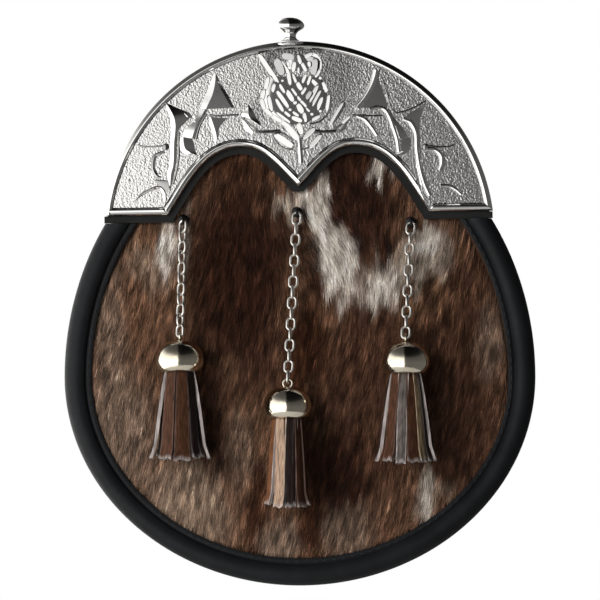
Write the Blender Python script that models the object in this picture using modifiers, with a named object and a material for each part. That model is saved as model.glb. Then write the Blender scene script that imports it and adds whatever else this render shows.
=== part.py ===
"""A dress sporran: a hair-on hide pouch under a cast half-moon cantle, with three chain tassels.

The pouch hangs upright.  X runs to the right as it is seen from the front, the front faces -Y
and +Z is up.  The origin is where the belt carries it: in the middle between the two belt loops,
on the rear face of the back panel.  Sizes are in metres.

Flat work on the front is laid out in X and Z with Y as its height over the front plane, and
lay_on_front then moves it onto the real front, which leans forward towards the bottom of the
pouch and bows back towards its sides.
"""
import math

import bmesh
import bpy
from mathutils import Matrix, Vector

MM = 0.001
GAP = 0.3 * MM

# The pouch outline: a lower and an upper half ellipse on one widest line, cut off at the shoulders,
# which stand a little higher on the right, like the foot of the cantle over them.
HALF_WIDTH = 100.5 * MM
WIDEST_Z = -96.3 * MM
LOWER_RISE = 88.7 * MM
UPPER_RISE = 115.9 * MM
SHOULDER_Z = -30.9 * MM
RIGHT_SHOULDER_Z = -29.3 * MM
LEFT_SHOULDER_Z = -31.45 * MM
SIDE_STATIONS = 27
ARCH_STATIONS = 12

# The front plane.
SHOULDER_DEPTH = 24.0 * MM
FRONT_LEAN = 0.055
BOW_RADIUS = 800.0 * MM

# The hair-on hide front.
HIDE_THICKNESS = 3.5 * MM
HIDE_INSET = 6.5 * MM
HIDE_ARCH_TOP_Z = 12.0 * MM
HIDE_SHOULDER_HALF = 75.5 * MM
HIDE_RING_PARTS = (0.0, 0.36, 0.68, 0.93, 1.0)
SWELL = 5.0 * MM
SWELL_HALF_WIDTH = 87.0 * MM
SWELL_CENTRE_Z = -100.0 * MM
SWELL_RISE = 68.0 * MM
SWELL_DROP = 72.0 * MM
SWELL_POWER = 1.3

# The padded binding: its section, as inset from the outline and height over the front plane.
BINDING_SECTION = (
    ("lip, inner lower edge", 11.6 * MM, -3.8 * MM),
    ("lip, inner upper edge", 11.6 * MM, -5.0 * MM),
    ("foot of the roll", 9.0 * MM, -5.2 * MM),
    ("inner slope", 7.4 * MM, -6.8 * MM),
    ("crown", 4.4 * MM, -7.6 * MM),
    ("outer slope", 1.4 * MM, -6.0 * MM),
    ("outer side", 0.0 * MM, -3.0 * MM),
    ("outer turn", 0.6 * MM, 0.6 * MM),
    ("back of the roll", 3.0 * MM, 2.2 * MM),
    ("back, inner edge", 6.2 * MM, 2.2 * MM),
    ("rebate for the hide", 6.2 * MM, -3.8 * MM),
)

# The side wall and the back.
LEATHER = 2.0 * MM
GUSSET_INSET = 2.6 * MM
GUSSET_BULGE = 1.2 * MM
GUSSET_FRONT = 2.6 * MM
GUSSET_TOP_RADIUS = 79.5 * MM
GUSSET_STEP = 3.0 * MM
GUSSET_HEIGHTS = (-28.2 * MM, -26.0 * MM, -11.0 * MM, 5.0 * MM)
BACK_THICKNESS = 2.5 * MM
BACK_INSET = 1.5 * MM
BACK_ARCH_HALF = 82.0 * MM
BACK_ARCH_TOP_Z = 33.0 * MM

# The belt loops on the back.
LOOP_CENTRE_X = 38.0 * MM
LOOP_WIDTH = 14.0 * MM
SLOT_HEIGHT = 27.0 * MM
SLOT_DEPTH = 5.4 * MM
LOOP_LAND = 7.0 * MM
LOOP_SLOPE = 2.5 * MM

# The cantle, which is fixed slightly askew: a little to the left, and turned about its arc's centre.
CANTLE_SHIFT_X = -0.5 * MM
CANTLE_TILT = math.radians(0.8)
CANTLE_RADIUS = 83.5 * MM
CANTLE_CENTRE_Z = -37.0 * MM
CANTLE_FOOT_Z = -26.9 * MM
INNER_CORNER_X = 55.6 * MM
LOBE_PEAK_X = 24.5 * MM
LOBE_PEAK_Z = 1.6 * MM
CORNER_PULL = (49.5 * MM, -19.0 * MM)
OUTER_PULL_X = 41.5 * MM
INNER_PULL_X = 15.0 * MM
CUSP_PULL = (11.0 * MM, -4.0 * MM)
CUSP_Z = -15.5 * MM
PLATE_BACK = -6.2 * MM
FIELD_FACE = -7.7 * MM
RIM_FACE = -8.9 * MM
RIM_WIDTH = 2.4 * MM
RIM_SLOPE = 0.9 * MM
RETURN_WALL = 1.5 * MM
RETURN_END = -2.2 * MM
ARC_STATIONS = 24
LOBE_STATIONS = 7
BEND_STRIP = 27.0 * MM
RELIEF_ROOT = 0.5 * MM

# The leather behind the cantle.
BACKING_BACK = -3.9 * MM
BACKING_FACE = -5.9 * MM
BACKING_RADIUS = 81.6 * MM
BACKING_MARGIN = 3.0 * MM
BACKING_FOOT_HALF = 82.8 * MM

# The relief is mirrored about a line a little left of the middle of the cantle.
RELIEF_AXIS_X = -1.8 * MM

# The leaves of one side.  Each has a tip, a base and the middle of its ridge and of its two edges,
# as (across from the relief's axis, up) in millimetres, and the height of its ridge.  A broad leaf
# comes to a corner at the middle of its outer edge.
LEAF_COLUMNS = ("name", "tip", "base", "ridge", "inner", "outer", "broad", "height")
LEAVES = (
    ("great leaf", (34.4, 33.8), (25.2, 17.2), (32.7, 25.4), (30.0, 25.8), (41.6, 16.9), True, 1.3),
    ("arched leaf", (44.0, -1.4), (37.2, 18.4), (41.8, 9.8), (39.6, 9.6), (50.2, 1.0), True, 1.1),
    ("outer leaf", (52.3, 6.5), (42.6, 16.4), (49.2, 13.2), (47.8, 11.6), (55.9, 21.2), True, 1.2),
    ("long stem", (57.8, -20.5), (52.0, 8.0), (53.0, -7.5), (51.6, -7.2), (55.6, -6.0), False, 1.2),
    ("inner small leaf", (20.1, 20.9), (12.8, 9.2), (17.3, 15.0), (15.8, 15.4), (23.6, 15.0), True, 1.0),
    ("side leaf", (23.6, 14.4), (8.6, 8.2), (16.6, 12.4), (15.9, 13.4), (18.6, 8.4), False, 0.9),
    ("drooping leaf", (35.0, 5.6), (25.6, 16.0), (31.8, 12.5), (30.4, 11.3), (37.4, 12.8), False, 1.0),
    ("curl", (60.9, -9.4), (55.8, 1.2), (61.9, -2.6), (60.1, -3.4), (63.6, -2.0), False, 1.0),
    ("foot leaf", (70.6, -19.6), (61.2, -15.0), (66.6, -16.2), (65.4, -17.8), (67.6, -14.8), False, 0.9),
    ("outer tendril", (69.6, 4.4), (54.6, 4.8), (61.8, 3.6), (61.4, 1.8), (62.2, 5.0), False, 0.8),
    ("flower spike", (15.6, 41.0), (8.9, 29.6), (11.9, 34.6), (11.0, 35.2), (13.4, 34.0), False, 1.1),
    ("bract", (8.4, 11.2), (1.4, 4.4), (5.2, 8.2), (3.8, 8.8), (6.2, 6.6), False, 1.0),
    ("low leaf", (11.4, 6.6), (3.8, 0.6), (7.6, 3.8), (6.2, 4.6), (8.4, 2.4), False, 0.9),
)
LEAF_STATIONS = 3
LEAF_ENDS = 0.12
LEAF_SKIRT = 0.25 * MM
ONE_SIDED = {"flower spike": -1.0}

# The thistle head: an oval boss under crossing strands, and a looped flower over it.
HEAD_Z = 20.4 * MM
HEAD_HALF_WIDTH = 14.6 * MM
HEAD_HALF_HEIGHT = 10.6 * MM
HEAD_HEIGHT = 1.1 * MM
STRAND_RADIUS = 0.62 * MM
STRAND_OFFSETS = (-0.5, 0.0, 0.5)
STRAND_STATIONS = 5
STRAND_REACH = 0.97
STRAND_SINK = 0.15 * MM
STRAND_STAGGER = 0.02 * MM
LOOP_RISE = 0.35 * MM
FLOWER_Z = 35.0 * MM
FLOWER_LOBE_X = 5.4 * MM
FLOWER_HALF_WIDTH = 4.9 * MM
FLOWER_HALF_HEIGHT = 5.6 * MM
STEM_TOP_Z = 10.5 * MM
STEM_FOOT_Z = -5.6 * MM
STEM_SHIFT = 1.7 * MM
STEM_RADIUS = 0.9 * MM
STEM_RISE = 0.2 * MM
STEM_STEPS = 3

# The knob on the cantle: radius and height over the cantle's edge, from the top down.
KNOB_X = -4.3 * MM
KNOB_HEIGHT_OVER_FRONT = -5.4 * MM
KNOB_PROFILE = (
    ("crown", 2.6 * MM, 9.6 * MM),
    ("shoulder", 5.0 * MM, 8.5 * MM),
    ("brim", 6.1 * MM, 6.7 * MM),
    ("brim, under", 5.5 * MM, 5.4 * MM),
    ("throat", 3.5 * MM, 3.9 * MM),
    ("neck", 2.6 * MM, 2.2 * MM),
    ("foot, top", 2.9 * MM, 0.9 * MM),
    ("foot", 4.0 * MM, 0.0 * MM),
)
KNOB_SIDES = 12

# The tassels: where each chain starts, how many links it has, and where the top of its cap lies.
TASSELS = (
    {"side": "left", "eye_x": -49.8 * MM, "eye_z": -29.6 * MM, "links": 11, "cap_x": -50.8 * MM,
     "foot_half_width": 12.6 * MM, "foot_half_depth": 8.4 * MM, "foot_shift": 1.5 * MM},
    {"side": "middle", "eye_x": -1.3 * MM, "eye_z": -26.4 * MM, "links": 16, "cap_x": -5.2 * MM,
     "foot_half_width": 8.6 * MM, "foot_half_depth": 7.2 * MM, "foot_shift": 0.3 * MM},
    {"side": "right", "eye_x": 47.2 * MM, "eye_z": -30.6 * MM, "links": 11, "cap_x": 44.6 * MM,
     "foot_half_width": 12.3 * MM, "foot_half_depth": 8.4 * MM, "foot_shift": 0.0 * MM},
)
EYE_STANDOFF = 0.9 * MM
EYE_WASHER_RADIUS = 2.3 * MM
EYE_WASHER_THICKNESS = 0.9 * MM
EYE_LOOP_RADIUS = 1.7 * MM
EYE_WIRE = 0.5 * MM
LINK_LENGTH = 6.3 * MM
LINK_WIDTH = 4.2 * MM
LINK_WIRE = 0.525 * MM
LINK_SIDES = 10
WIRE_SIDES = 5
LINK_PITCH = 4.6 * MM
TASSEL_TILT = math.radians(4.5)
CAP_RADIUS = 10.3 * MM
CAP_HEIGHT = 13.4 * MM
CAP_MOUTH_RADIUS = 8.2 * MM
CAP_WALL = 1.0 * MM
CAP_TOP_RADIUS = 2.6 * MM
CAP_LOOP_RADIUS = 1.9 * MM
CAP_STATIONS = 4
CAP_SIDES = 14
CAP_CLEARANCE = 0.8 * MM
STRIP_COUNT = 7
STRIP_LENGTH = 39.0 * MM
STRIP_THICKNESS = 1.8 * MM
STRIP_TOP_WIDTH = 4.8 * MM
STRIP_FOOT_SPREAD = 0.56
STRIP_TOP_RADIUS = 5.2 * MM
STRIP_STATIONS = 2
HEAD_PLUG_RADIUS = 6.0 * MM
HEAD_PLUG_HEIGHT = 6.0 * MM


# ---------------------------------------------------------------- the scene

def start_scene():
    """Empty the scene and return the collections for the parts and for the helpers."""
    for thing in list(bpy.data.objects):
        bpy.data.objects.remove(thing, do_unlink=True)
    bpy.context.scene.unit_settings.scale_length = 1.0
    parts = bpy.data.collections.new("sporran")
    helpers = bpy.data.collections.new("sporran_helpers")
    bpy.context.scene.collection.children.link(parts)
    bpy.context.scene.collection.children.link(helpers)
    return parts, helpers


PARTS, HELPERS = start_scene()


def make_finish(name, colour, roughness, metallic):
    """A Principled BSDF material."""
    finish = bpy.data.materials.new(name)
    finish.use_nodes = True
    shader = finish.node_tree.nodes["Principled BSDF"]
    shader.inputs["Base Color"].default_value = (*colour, 1.0)
    shader.inputs["Roughness"].default_value = roughness
    shader.inputs["Metallic"].default_value = metallic
    return finish


CAST_METAL = make_finish("cast_metal", (0.62, 0.62, 0.61), 0.32, 1.0)
NICKEL = make_finish("nickel", (0.66, 0.63, 0.58), 0.15, 1.0)
BLACK_METAL = make_finish("black_metal", (0.02, 0.02, 0.02), 0.4, 1.0)
BLACK_LEATHER = make_finish("black_leather", (0.015, 0.015, 0.016), 0.45, 0.0)
HIDE = make_finish("hair_on_hide", (0.085, 0.035, 0.02), 0.6, 0.0)


def add_mesh_object(name, mesh, finish=None):
    """Put a mesh in the scene: a part if it has a finish, or else a helper."""
    piece = bpy.data.objects.new(name, mesh)
    if finish is None:
        HELPERS.objects.link(piece)
        piece.hide_render = True
        piece.display_type = "WIRE"
    else:
        PARTS.objects.link(piece)
        mesh.materials.clear()
        mesh.materials.append(finish)
    return piece


def bm_object(name, bm, finish=None):
    """Turn a bmesh into an object, with its faces pointing out."""
    bmesh.ops.recalc_face_normals(bm, faces=bm.faces)
    mesh = bpy.data.meshes.new(name)
    bm.to_mesh(mesh)
    bm.free()
    return add_mesh_object(name, mesh, finish)


def baked_mesh(piece):
    """The evaluated mesh of an object, welded and in world coordinates; the object goes."""
    bpy.context.view_layer.update()
    evaluated = piece.evaluated_get(bpy.context.evaluated_depsgraph_get())
    mesh = bpy.data.meshes.new_from_object(evaluated)
    mesh.transform(piece.matrix_world)
    bm = bmesh.new()
    bm.from_mesh(mesh)
    bmesh.ops.remove_doubles(bm, verts=bm.verts, dist=0.002 * MM)
    bmesh.ops.recalc_face_normals(bm, faces=bm.faces)
    bm.to_mesh(mesh)
    bm.free()
    bpy.data.objects.remove(piece, do_unlink=True)
    return mesh


def bake(name, piece, finish=None):
    """Replace an object by its baked mesh."""
    mesh = baked_mesh(piece)
    mesh.name = name
    return add_mesh_object(name, mesh, finish)


def smooth(piece, angle=40.0):
    """Smooth shading, with edges sharper than the angle kept sharp."""
    piece.data.shade_smooth()
    piece.data.set_sharp_from_angle(angle=math.radians(angle))
    return piece


def fill_pockets(piece):
    """Keep the one outer body: where strands cross, a pocket can be left sealed under them."""
    bm = bmesh.new()
    bm.from_mesh(piece.data)
    waiting = set(bm.verts)
    bodies = []
    while waiting:
        body = set()
        front = [waiting.pop()]
        while front:
            vertex = front.pop()
            body.add(vertex)
            for edge in vertex.link_edges:
                other = edge.other_vert(vertex)
                if other in waiting:
                    waiting.discard(other)
                    front.append(other)
        bodies.append(body)
    bodies.sort(key=len)
    for body in bodies[:-1]:
        bmesh.ops.delete(bm, geom=list(body), context="VERTS")
    bm.to_mesh(piece.data)
    bm.free()


def fuse(name, base, others, finish):
    """Join helpers into one body by a Boolean union."""
    group = bpy.data.collections.new(name + "_pieces")
    HELPERS.children.link(group)
    for other in others:
        HELPERS.objects.unlink(other)
        group.objects.link(other)
    union = base.modifiers.new("union", "BOOLEAN")
    union.operation = "UNION"
    union.solver = "EXACT"
    union.operand_type = "COLLECTION"
    union.collection = group
    fused = bake(name, base, finish)
    fill_pockets(fused)
    for other in others:
        bpy.data.objects.remove(other, do_unlink=True)
    bpy.data.collections.remove(group)
    return fused


# ---------------------------------------------------------------- the front's shape

def front_y(x, z):
    """Where the front plane lies at a place on the front."""
    depth = SHOULDER_DEPTH + FRONT_LEAN * (SHOULDER_Z - z)
    return x * x / (2.0 * BOW_RADIUS) - depth


def swell_at(x, z):
    """How far the hide bulges out at a place on the front."""
    rise = SWELL_RISE if z > SWELL_CENTRE_Z else SWELL_DROP
    reach = (x / SWELL_HALF_WIDTH) ** 2 + ((z - SWELL_CENTRE_Z) / rise) ** 2
    return SWELL * max(0.0, 1.0 - reach) ** SWELL_POWER


def hair_y(x, z):
    """Where the outer face of the hide lies."""
    return front_y(x, z) - HIDE_THICKNESS - swell_at(x, z)


def lay_on_front(piece):
    """Move flat work onto the leaning, bowed front."""
    for vertex in piece.data.vertices:
        vertex.co.y += front_y(vertex.co.x, vertex.co.z)
    piece.data.update()
    return piece


def split_across(piece, half_width):
    """Cut a flat piece into upright strips, so that it can bow."""
    bm = bmesh.new()
    bm.from_mesh(piece.data)
    bmesh.ops.dissolve_limit(bm, angle_limit=0.001, verts=bm.verts, edges=bm.edges)
    count = int(half_width / BEND_STRIP)
    for index in range(-count, count + 1):
        geometry = bm.verts[:] + bm.edges[:] + bm.faces[:]
        place = (index * BEND_STRIP + 0.01 * MM, 0.0, 0.0)
        bmesh.ops.bisect_plane(bm, geom=geometry, plane_co=place, plane_no=(1.0, 0.0, 0.0))
    bm.to_mesh(piece.data)
    bm.free()
    return piece


# ---------------------------------------------------------------- outlines

def side_point(angle, inset):
    """A point of the pouch's outline, moved in; the angle is measured from the right-hand side."""
    rise = UPPER_RISE if math.sin(angle) > 0.0 else LOWER_RISE
    across = (HALF_WIDTH - inset) * math.cos(angle)
    return across, WIDEST_Z + (rise - inset) * math.sin(angle)


def side_outline(inset, stations=SIDE_STATIONS):
    """The outline from the right shoulder, round the bottom, to the left shoulder."""
    right = math.asin((RIGHT_SHOULDER_Z - WIDEST_Z) / (UPPER_RISE - inset))
    left = math.asin((LEFT_SHOULDER_Z - WIDEST_Z) / (UPPER_RISE - inset))
    turn = math.pi + right + left
    return [side_point(right - turn * step / stations, inset) for step in range(stations + 1)]


def arch_outline(half_width, foot_z, top_z, stations):
    """Half an ellipse from left to right over the top, without its two feet."""
    points = []
    for step in range(1, stations):
        angle = math.pi * (1.0 - step / stations)
        points.append((half_width * math.cos(angle), foot_z + (top_z - foot_z) * math.sin(angle)))
    return points


def bezier(points, steps):
    """Points along a cubic curve, without its last one."""
    a, b, c, d = (Vector(point) for point in points)
    found = []
    for step in range(steps):
        t = step / steps
        s = 1.0 - t
        found.append(tuple(a * s ** 3 + b * 3 * s * s * t + c * 3 * s * t * t + d * t ** 3))
    return found


def lobes_outline():
    """The cantle's lower edge from the right inner corner over both lobes to the left one."""
    outer = ((INNER_CORNER_X, CANTLE_FOOT_Z), CORNER_PULL,
             (OUTER_PULL_X, LOBE_PEAK_Z), (LOBE_PEAK_X, LOBE_PEAK_Z))
    inner = ((LOBE_PEAK_X, LOBE_PEAK_Z), (INNER_PULL_X, LOBE_PEAK_Z), CUSP_PULL, (0.0, CUSP_Z))
    right = bezier(outer, LOBE_STATIONS) + bezier(inner, LOBE_STATIONS)
    left = [(-x, z) for x, z in reversed(right)]
    return right + [(0.0, CUSP_Z)] + left


def offset_path(points, distance):
    """An open path moved sideways to its left, with mitred corners."""
    moved = []
    last = len(points) - 1
    for index, point in enumerate(points):
        here = Vector(point)
        before = here - Vector(points[index - 1]) if index > 0 else None
        after = Vector(points[index + 1]) - here if index < last else None
        before = (before or after).normalized()
        after = (after or before).normalized()
        normal = (Vector((-before.y, before.x)) + Vector((-after.y, after.x))).normalized()
        stretch = 1.0 / max(0.5, normal.dot(Vector((-before.y, before.x))))
        moved.append(tuple(here + normal * distance * stretch))
    return moved


def top_arc(radius, foot_z, stations):
    """An arc about the cantle's centre from left to right over the top."""
    low = math.asin((foot_z - CANTLE_CENTRE_Z) / radius)
    points = []
    for step in range(stations + 1):
        angle = math.pi - low - (math.pi - 2.0 * low) * step / stations
        points.append((radius * math.cos(angle), CANTLE_CENTRE_Z + radius * math.sin(angle)))
    return points


# ---------------------------------------------------------------- ways of making a piece

def flat_piece(name, outline, back_y, face_y, finish=None):
    """A flat outline as a filled 2D curve, extruded from back_y to face_y."""
    curve = bpy.data.curves.new(name, "CURVE")
    curve.dimensions = "2D"
    curve.fill_mode = "BOTH"
    curve.extrude = abs(back_y - face_y) / 2.0
    spline = curve.splines.new("POLY")
    spline.points.add(len(outline) - 1)
    for point, (x, z) in zip(spline.points, outline):
        point.co = (x, z, 0.0, 1.0)
    spline.use_cyclic_u = True
    piece = bpy.data.objects.new(name, curve)
    piece.rotation_euler = (math.pi / 2.0, 0.0, 0.0)
    piece.location = (0.0, (back_y + face_y) / 2.0, 0.0)
    HELPERS.objects.link(piece)
    return bake(name, piece, finish)


def loft(name, sections, finish=None):
    """A closed solid through sections with equal numbers of points, capped at both ends."""
    bm = bmesh.new()
    rings = [[bm.verts.new(point) for point in section] for section in sections]
    count = len(rings[0])
    for low, high in zip(rings, rings[1:]):
        for index in range(count):
            after = (index + 1) % count
            bm.faces.new((low[index], low[after], high[after], high[index]))
    bm.faces.new(rings[0])
    bm.faces.new(rings[-1])
    return bm_object(name, bm, finish)


def turned(name, profile, sides, finish=None):
    """A profile of (radius, height), from the top down, turned about the Z axis."""
    bm = bmesh.new()
    last = None
    for radius, height in profile:
        vertex = bm.verts.new((radius, 0.0, height))
        if last is not None:
            bm.edges.new((last, vertex))
        last = vertex
    mesh = bpy.data.meshes.new(name)
    bm.to_mesh(mesh)
    bm.free()
    piece = bpy.data.objects.new(name, mesh)
    HELPERS.objects.link(piece)
    screw = piece.modifiers.new("turn", "SCREW")
    screw.steps = sides
    screw.render_steps = sides
    screw.use_merge_vertices = True
    screw.merge_threshold = 0.00001
    return bake(name, piece, finish)


def ring(name, radius, wire, sides, wire_sides):
    """A wire ring in the XZ plane, about the origin."""
    bpy.ops.mesh.primitive_torus_add(major_segments=sides, minor_segments=wire_sides,
                                     major_radius=radius, minor_radius=wire)
    piece = bpy.context.object
    mesh = piece.data
    bpy.data.objects.remove(piece, do_unlink=True)
    mesh.transform(Matrix.Rotation(math.pi / 2.0, 4, "X"))
    return add_mesh_object(name, mesh)


def place(piece, matrix):
    """Move a piece's mesh."""
    piece.data.transform(matrix)
    piece.data.update()
    return piece


# ---------------------------------------------------------------- the pouch

def make_back_panel():
    """The flat leather back, arched at the top behind the cantle."""
    sides = side_outline(BACK_INSET)
    arch = arch_outline(BACK_ARCH_HALF, SHOULDER_Z, BACK_ARCH_TOP_Z, ARCH_STATIONS)
    return flat_piece("back_panel", sides + arch, 0.0, -BACK_THICKNESS, BLACK_LEATHER)


def make_front_panel():
    """The hair-on hide: the upper half of a sphere, reshaped to the outline and the bulge."""
    sides = side_outline(HIDE_INSET)
    arch = arch_outline(HIDE_SHOULDER_HALF, SHOULDER_Z, HIDE_ARCH_TOP_Z, ARCH_STATIONS)
    outline = sides + arch
    count = len(outline)
    bm = bmesh.new()
    rings = len(HIDE_RING_PARTS) - 1
    bmesh.ops.create_uvsphere(bm, u_segments=count, v_segments=2 * rings, radius=1.0)
    lower = [vertex for vertex in bm.verts if vertex.co.z < -0.01]
    bmesh.ops.delete(bm, geom=lower, context="VERTS")
    centre = Vector((0.0, SWELL_CENTRE_Z))
    for vertex in bm.verts:
        ring = round(math.acos(min(1.0, vertex.co.z)) / (math.pi / 2.0) * rings)
        turn = math.atan2(vertex.co.y, vertex.co.x) / (2.0 * math.pi)
        edge = Vector(outline[round(turn * count) % count])
        x, z = centre.lerp(edge, HIDE_RING_PARTS[ring])
        vertex.co = (x, hair_y(x, z), z)
    bmesh.ops.recalc_face_normals(bm, faces=bm.faces)
    bm.faces.ensure_lookup_table()
    bm.normal_update()
    if bm.faces[0].normal.y > 0.0:
        bmesh.ops.reverse_faces(bm, faces=bm.faces)
    mesh = bpy.data.meshes.new("front_panel")
    bm.to_mesh(mesh)
    bm.free()
    piece = add_mesh_object("front_panel", mesh, HIDE)
    wall = piece.modifiers.new("hide", "SOLIDIFY")
    wall.thickness = HIDE_THICKNESS
    wall.offset = -1.0
    return smooth(piece)


def make_front_binding():
    """The padded leather roll round the front, swept along the outline."""
    insets = [row[1] for row in BINDING_SECTION]
    outlines = [side_outline(inset) for inset in insets]
    sections = []
    for station in range(SIDE_STATIONS + 1):
        section = []
        for outline, row in zip(outlines, BINDING_SECTION):
            x, z = outline[station]
            section.append((x, front_y(x, z) + row[2], z))
        sections.append(section)
    return smooth(loft("front_binding", sections, BLACK_LEATHER), 50.0)


def gusset_section(point, inward, height):
    """The gusset's wall across its depth at one place, a little bulged at mid depth."""
    outer = Vector(point)
    inner = outer + inward * LEATHER
    bulge = inward * GUSSET_BULGE
    back = -BACK_THICKNESS - GAP
    outer_front = front_y(*outer) + height
    inner_front = front_y(*inner) + height
    middle = (outer_front + back) / 2.0
    rows = ((outer, outer_front), (outer - bulge, middle), (outer, back),
            (inner, back), (inner - bulge, middle), (inner, inner_front))
    return [(place.x, depth, place.y) for place, depth in rows]


def make_gusset():
    """The side wall, from behind the cantle down one side, round the bottom and up the other."""
    sides = side_outline(GUSSET_INSET)
    rising = []
    for z in GUSSET_HEIGHTS:
        angle = math.asin((z - CANTLE_CENTRE_Z) / GUSSET_TOP_RADIUS)
        rising.append((GUSSET_TOP_RADIUS * math.cos(angle), z))
    right = list(reversed(rising))
    left = [(-x, z) for x, z in rising]
    path = right + sides + left
    sections = []
    last = len(path) - 1
    for index, point in enumerate(path):
        before = Vector(path[max(0, index - 1)])
        after = Vector(path[min(last, index + 1)])
        along = (after - before).normalized()
        inward = Vector((along.y, -along.x))
        behind_cantle = point[1] > SHOULDER_Z + GUSSET_STEP
        height = BACKING_BACK + GAP if behind_cantle else GUSSET_FRONT
        sections.append(gusset_section(point, inward, height))
    return smooth(loft("gusset", sections, BLACK_LEATHER), 30.0)


def make_belt_loop(side, centre_x):
    """A leather strip stitched flat above and below, and standing off the back between."""
    half = SLOT_HEIGHT / 2.0
    land = half + LOOP_SLOPE + LOOP_LAND
    foot = GAP
    rise = GAP + SLOT_DEPTH
    inner = [(-land, foot), (-half - LOOP_SLOPE, foot), (-half, rise),
             (half, rise), (half + LOOP_SLOPE, foot), (land, foot)]
    outer = list(reversed(offset_path(inner, LEATHER)))
    sections = []
    for x in (centre_x - LOOP_WIDTH / 2.0, centre_x + LOOP_WIDTH / 2.0):
        sections.append([(x, y, z) for z, y in inner + outer])
    return loft("belt_loop_" + side, sections, BLACK_LEATHER)


# ---------------------------------------------------------------- the cantle

def set_askew(piece):
    """Shift and turn a flat piece of the cantle the way that the cantle is fixed on the pouch."""
    centre = Matrix.Translation((0.0, 0.0, CANTLE_CENTRE_Z))
    shift = Matrix.Translation((CANTLE_SHIFT_X, 0.0, 0.0))
    turn = Matrix.Rotation(-CANTLE_TILT, 4, "Y")
    return place(piece, shift @ centre @ turn @ centre.inverted())


def make_cantle_plate():
    """The half-moon plate: a raised rim round a sunk field."""
    outline = top_arc(CANTLE_RADIUS - 0.4 * MM, CANTLE_FOOT_Z, ARC_STATIONS) + lobes_outline()
    plate = flat_piece("cantle_plate", outline, PLATE_BACK, RIM_FACE)
    bm = bmesh.new()
    bm.from_mesh(plate.data)
    bmesh.ops.dissolve_limit(bm, angle_limit=0.001, verts=bm.verts, edges=bm.edges)
    face = min(bm.faces, key=lambda each: each.calc_center_median().y)
    bmesh.ops.inset_region(bm, faces=[face], thickness=RIM_WIDTH, use_even_offset=True)
    bmesh.ops.inset_region(bm, faces=[face], thickness=RIM_SLOPE, depth=RIM_FACE - FIELD_FACE,
                           use_even_offset=True)
    bm.to_mesh(plate.data)
    bm.free()
    return set_askew(plate)


def make_return_wall():
    """The cantle's outer edge, turned back over the leather."""
    outer = top_arc(CANTLE_RADIUS, CANTLE_FOOT_Z + 0.05 * MM, ARC_STATIONS)
    inner = top_arc(CANTLE_RADIUS - RETURN_WALL, CANTLE_FOOT_Z + 0.05 * MM, ARC_STATIONS)
    return set_askew(flat_piece("return_wall", outer + list(reversed(inner)), RETURN_END,
                                RIM_FACE + 0.6 * MM))


def through(first, middle, last, t, broad):
    """A point along a curve through three points, or along the two straight edges of a corner."""
    if broad:
        if t < 0.5:
            return first.lerp(middle, 2.0 * t)
        return middle.lerp(last, 2.0 * t - 1.0)
    pull = middle * 2.0 - (first + last) * 0.5
    return first * (1.0 - t) ** 2 + pull * 2.0 * t * (1.0 - t) + last * t * t


def make_leaf(row, side):
    """A ridged leaf: a triangular section that runs from its tip to its base."""
    leaf = dict(zip(LEAF_COLUMNS, row))
    spots = {}
    for key in ("tip", "base", "ridge", "inner", "outer"):
        across, up = leaf[key]
        spots[key] = Vector((RELIEF_AXIS_X + side * across * MM, up * MM))
    tip, base = spots["tip"], spots["base"]
    sections = []
    for step in range(LEAF_STATIONS + 1):
        t = step / LEAF_STATIONS
        swell = math.sin(math.pi * (LEAF_ENDS + (1.0 - 2.0 * LEAF_ENDS) * t))
        ridge = through(tip, spots["ridge"], base, t, False)
        inner = through(tip, spots["inner"], base, t, False)
        outer = through(tip, spots["outer"], base, t, leaf["broad"])
        spread = (outer - inner).normalized() if (outer - inner).length > 0.1 * MM else Vector((side, 0.0))
        inner = inner - spread * LEAF_SKIRT
        outer = outer + spread * LEAF_SKIRT
        top = FIELD_FACE - leaf["height"] * MM * swell
        root = FIELD_FACE + RELIEF_ROOT
        sections.append([(inner.x, root, inner.y), (ridge.x, top, ridge.y), (outer.x, root, outer.y)])
    return loft("leaf", sections)


def make_strand(points, radius=STRAND_RADIUS):
    """A raised strand along points of (x, y, z): a bevelled curve with filled caps."""
    curve = bpy.data.curves.new("strand", "CURVE")
    curve.dimensions = "3D"
    curve.bevel_depth = radius
    curve.bevel_resolution = 0
    curve.use_fill_caps = True
    spline = curve.splines.new("POLY")
    spline.points.add(len(points) - 1)
    for point, co in zip(spline.points, points):
        point.co = (*co, 1.0)
    piece = bpy.data.objects.new("strand", curve)
    HELPERS.objects.link(piece)
    return bake("strand", piece)


def head_height(x, z):
    """The height of the thistle head's boss over the field."""
    reach = ((x - RELIEF_AXIS_X) / HEAD_HALF_WIDTH) ** 2 + ((z - HEAD_Z) / HEAD_HALF_HEIGHT) ** 2
    return HEAD_HEIGHT * math.sqrt(max(0.0, 1.0 - reach))


def make_head_boss():
    """The oval boss of the thistle head."""
    bm = bmesh.new()
    bmesh.ops.create_uvsphere(bm, u_segments=12, v_segments=6, radius=1.0)
    for vertex in bm.verts:
        x, y, z = vertex.co
        vertex.co = (RELIEF_AXIS_X + x * HEAD_HALF_WIDTH, FIELD_FACE - z * HEAD_HEIGHT,
                     HEAD_Z + y * HEAD_HALF_HEIGHT)
    return bm_object("boss", bm)


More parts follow.
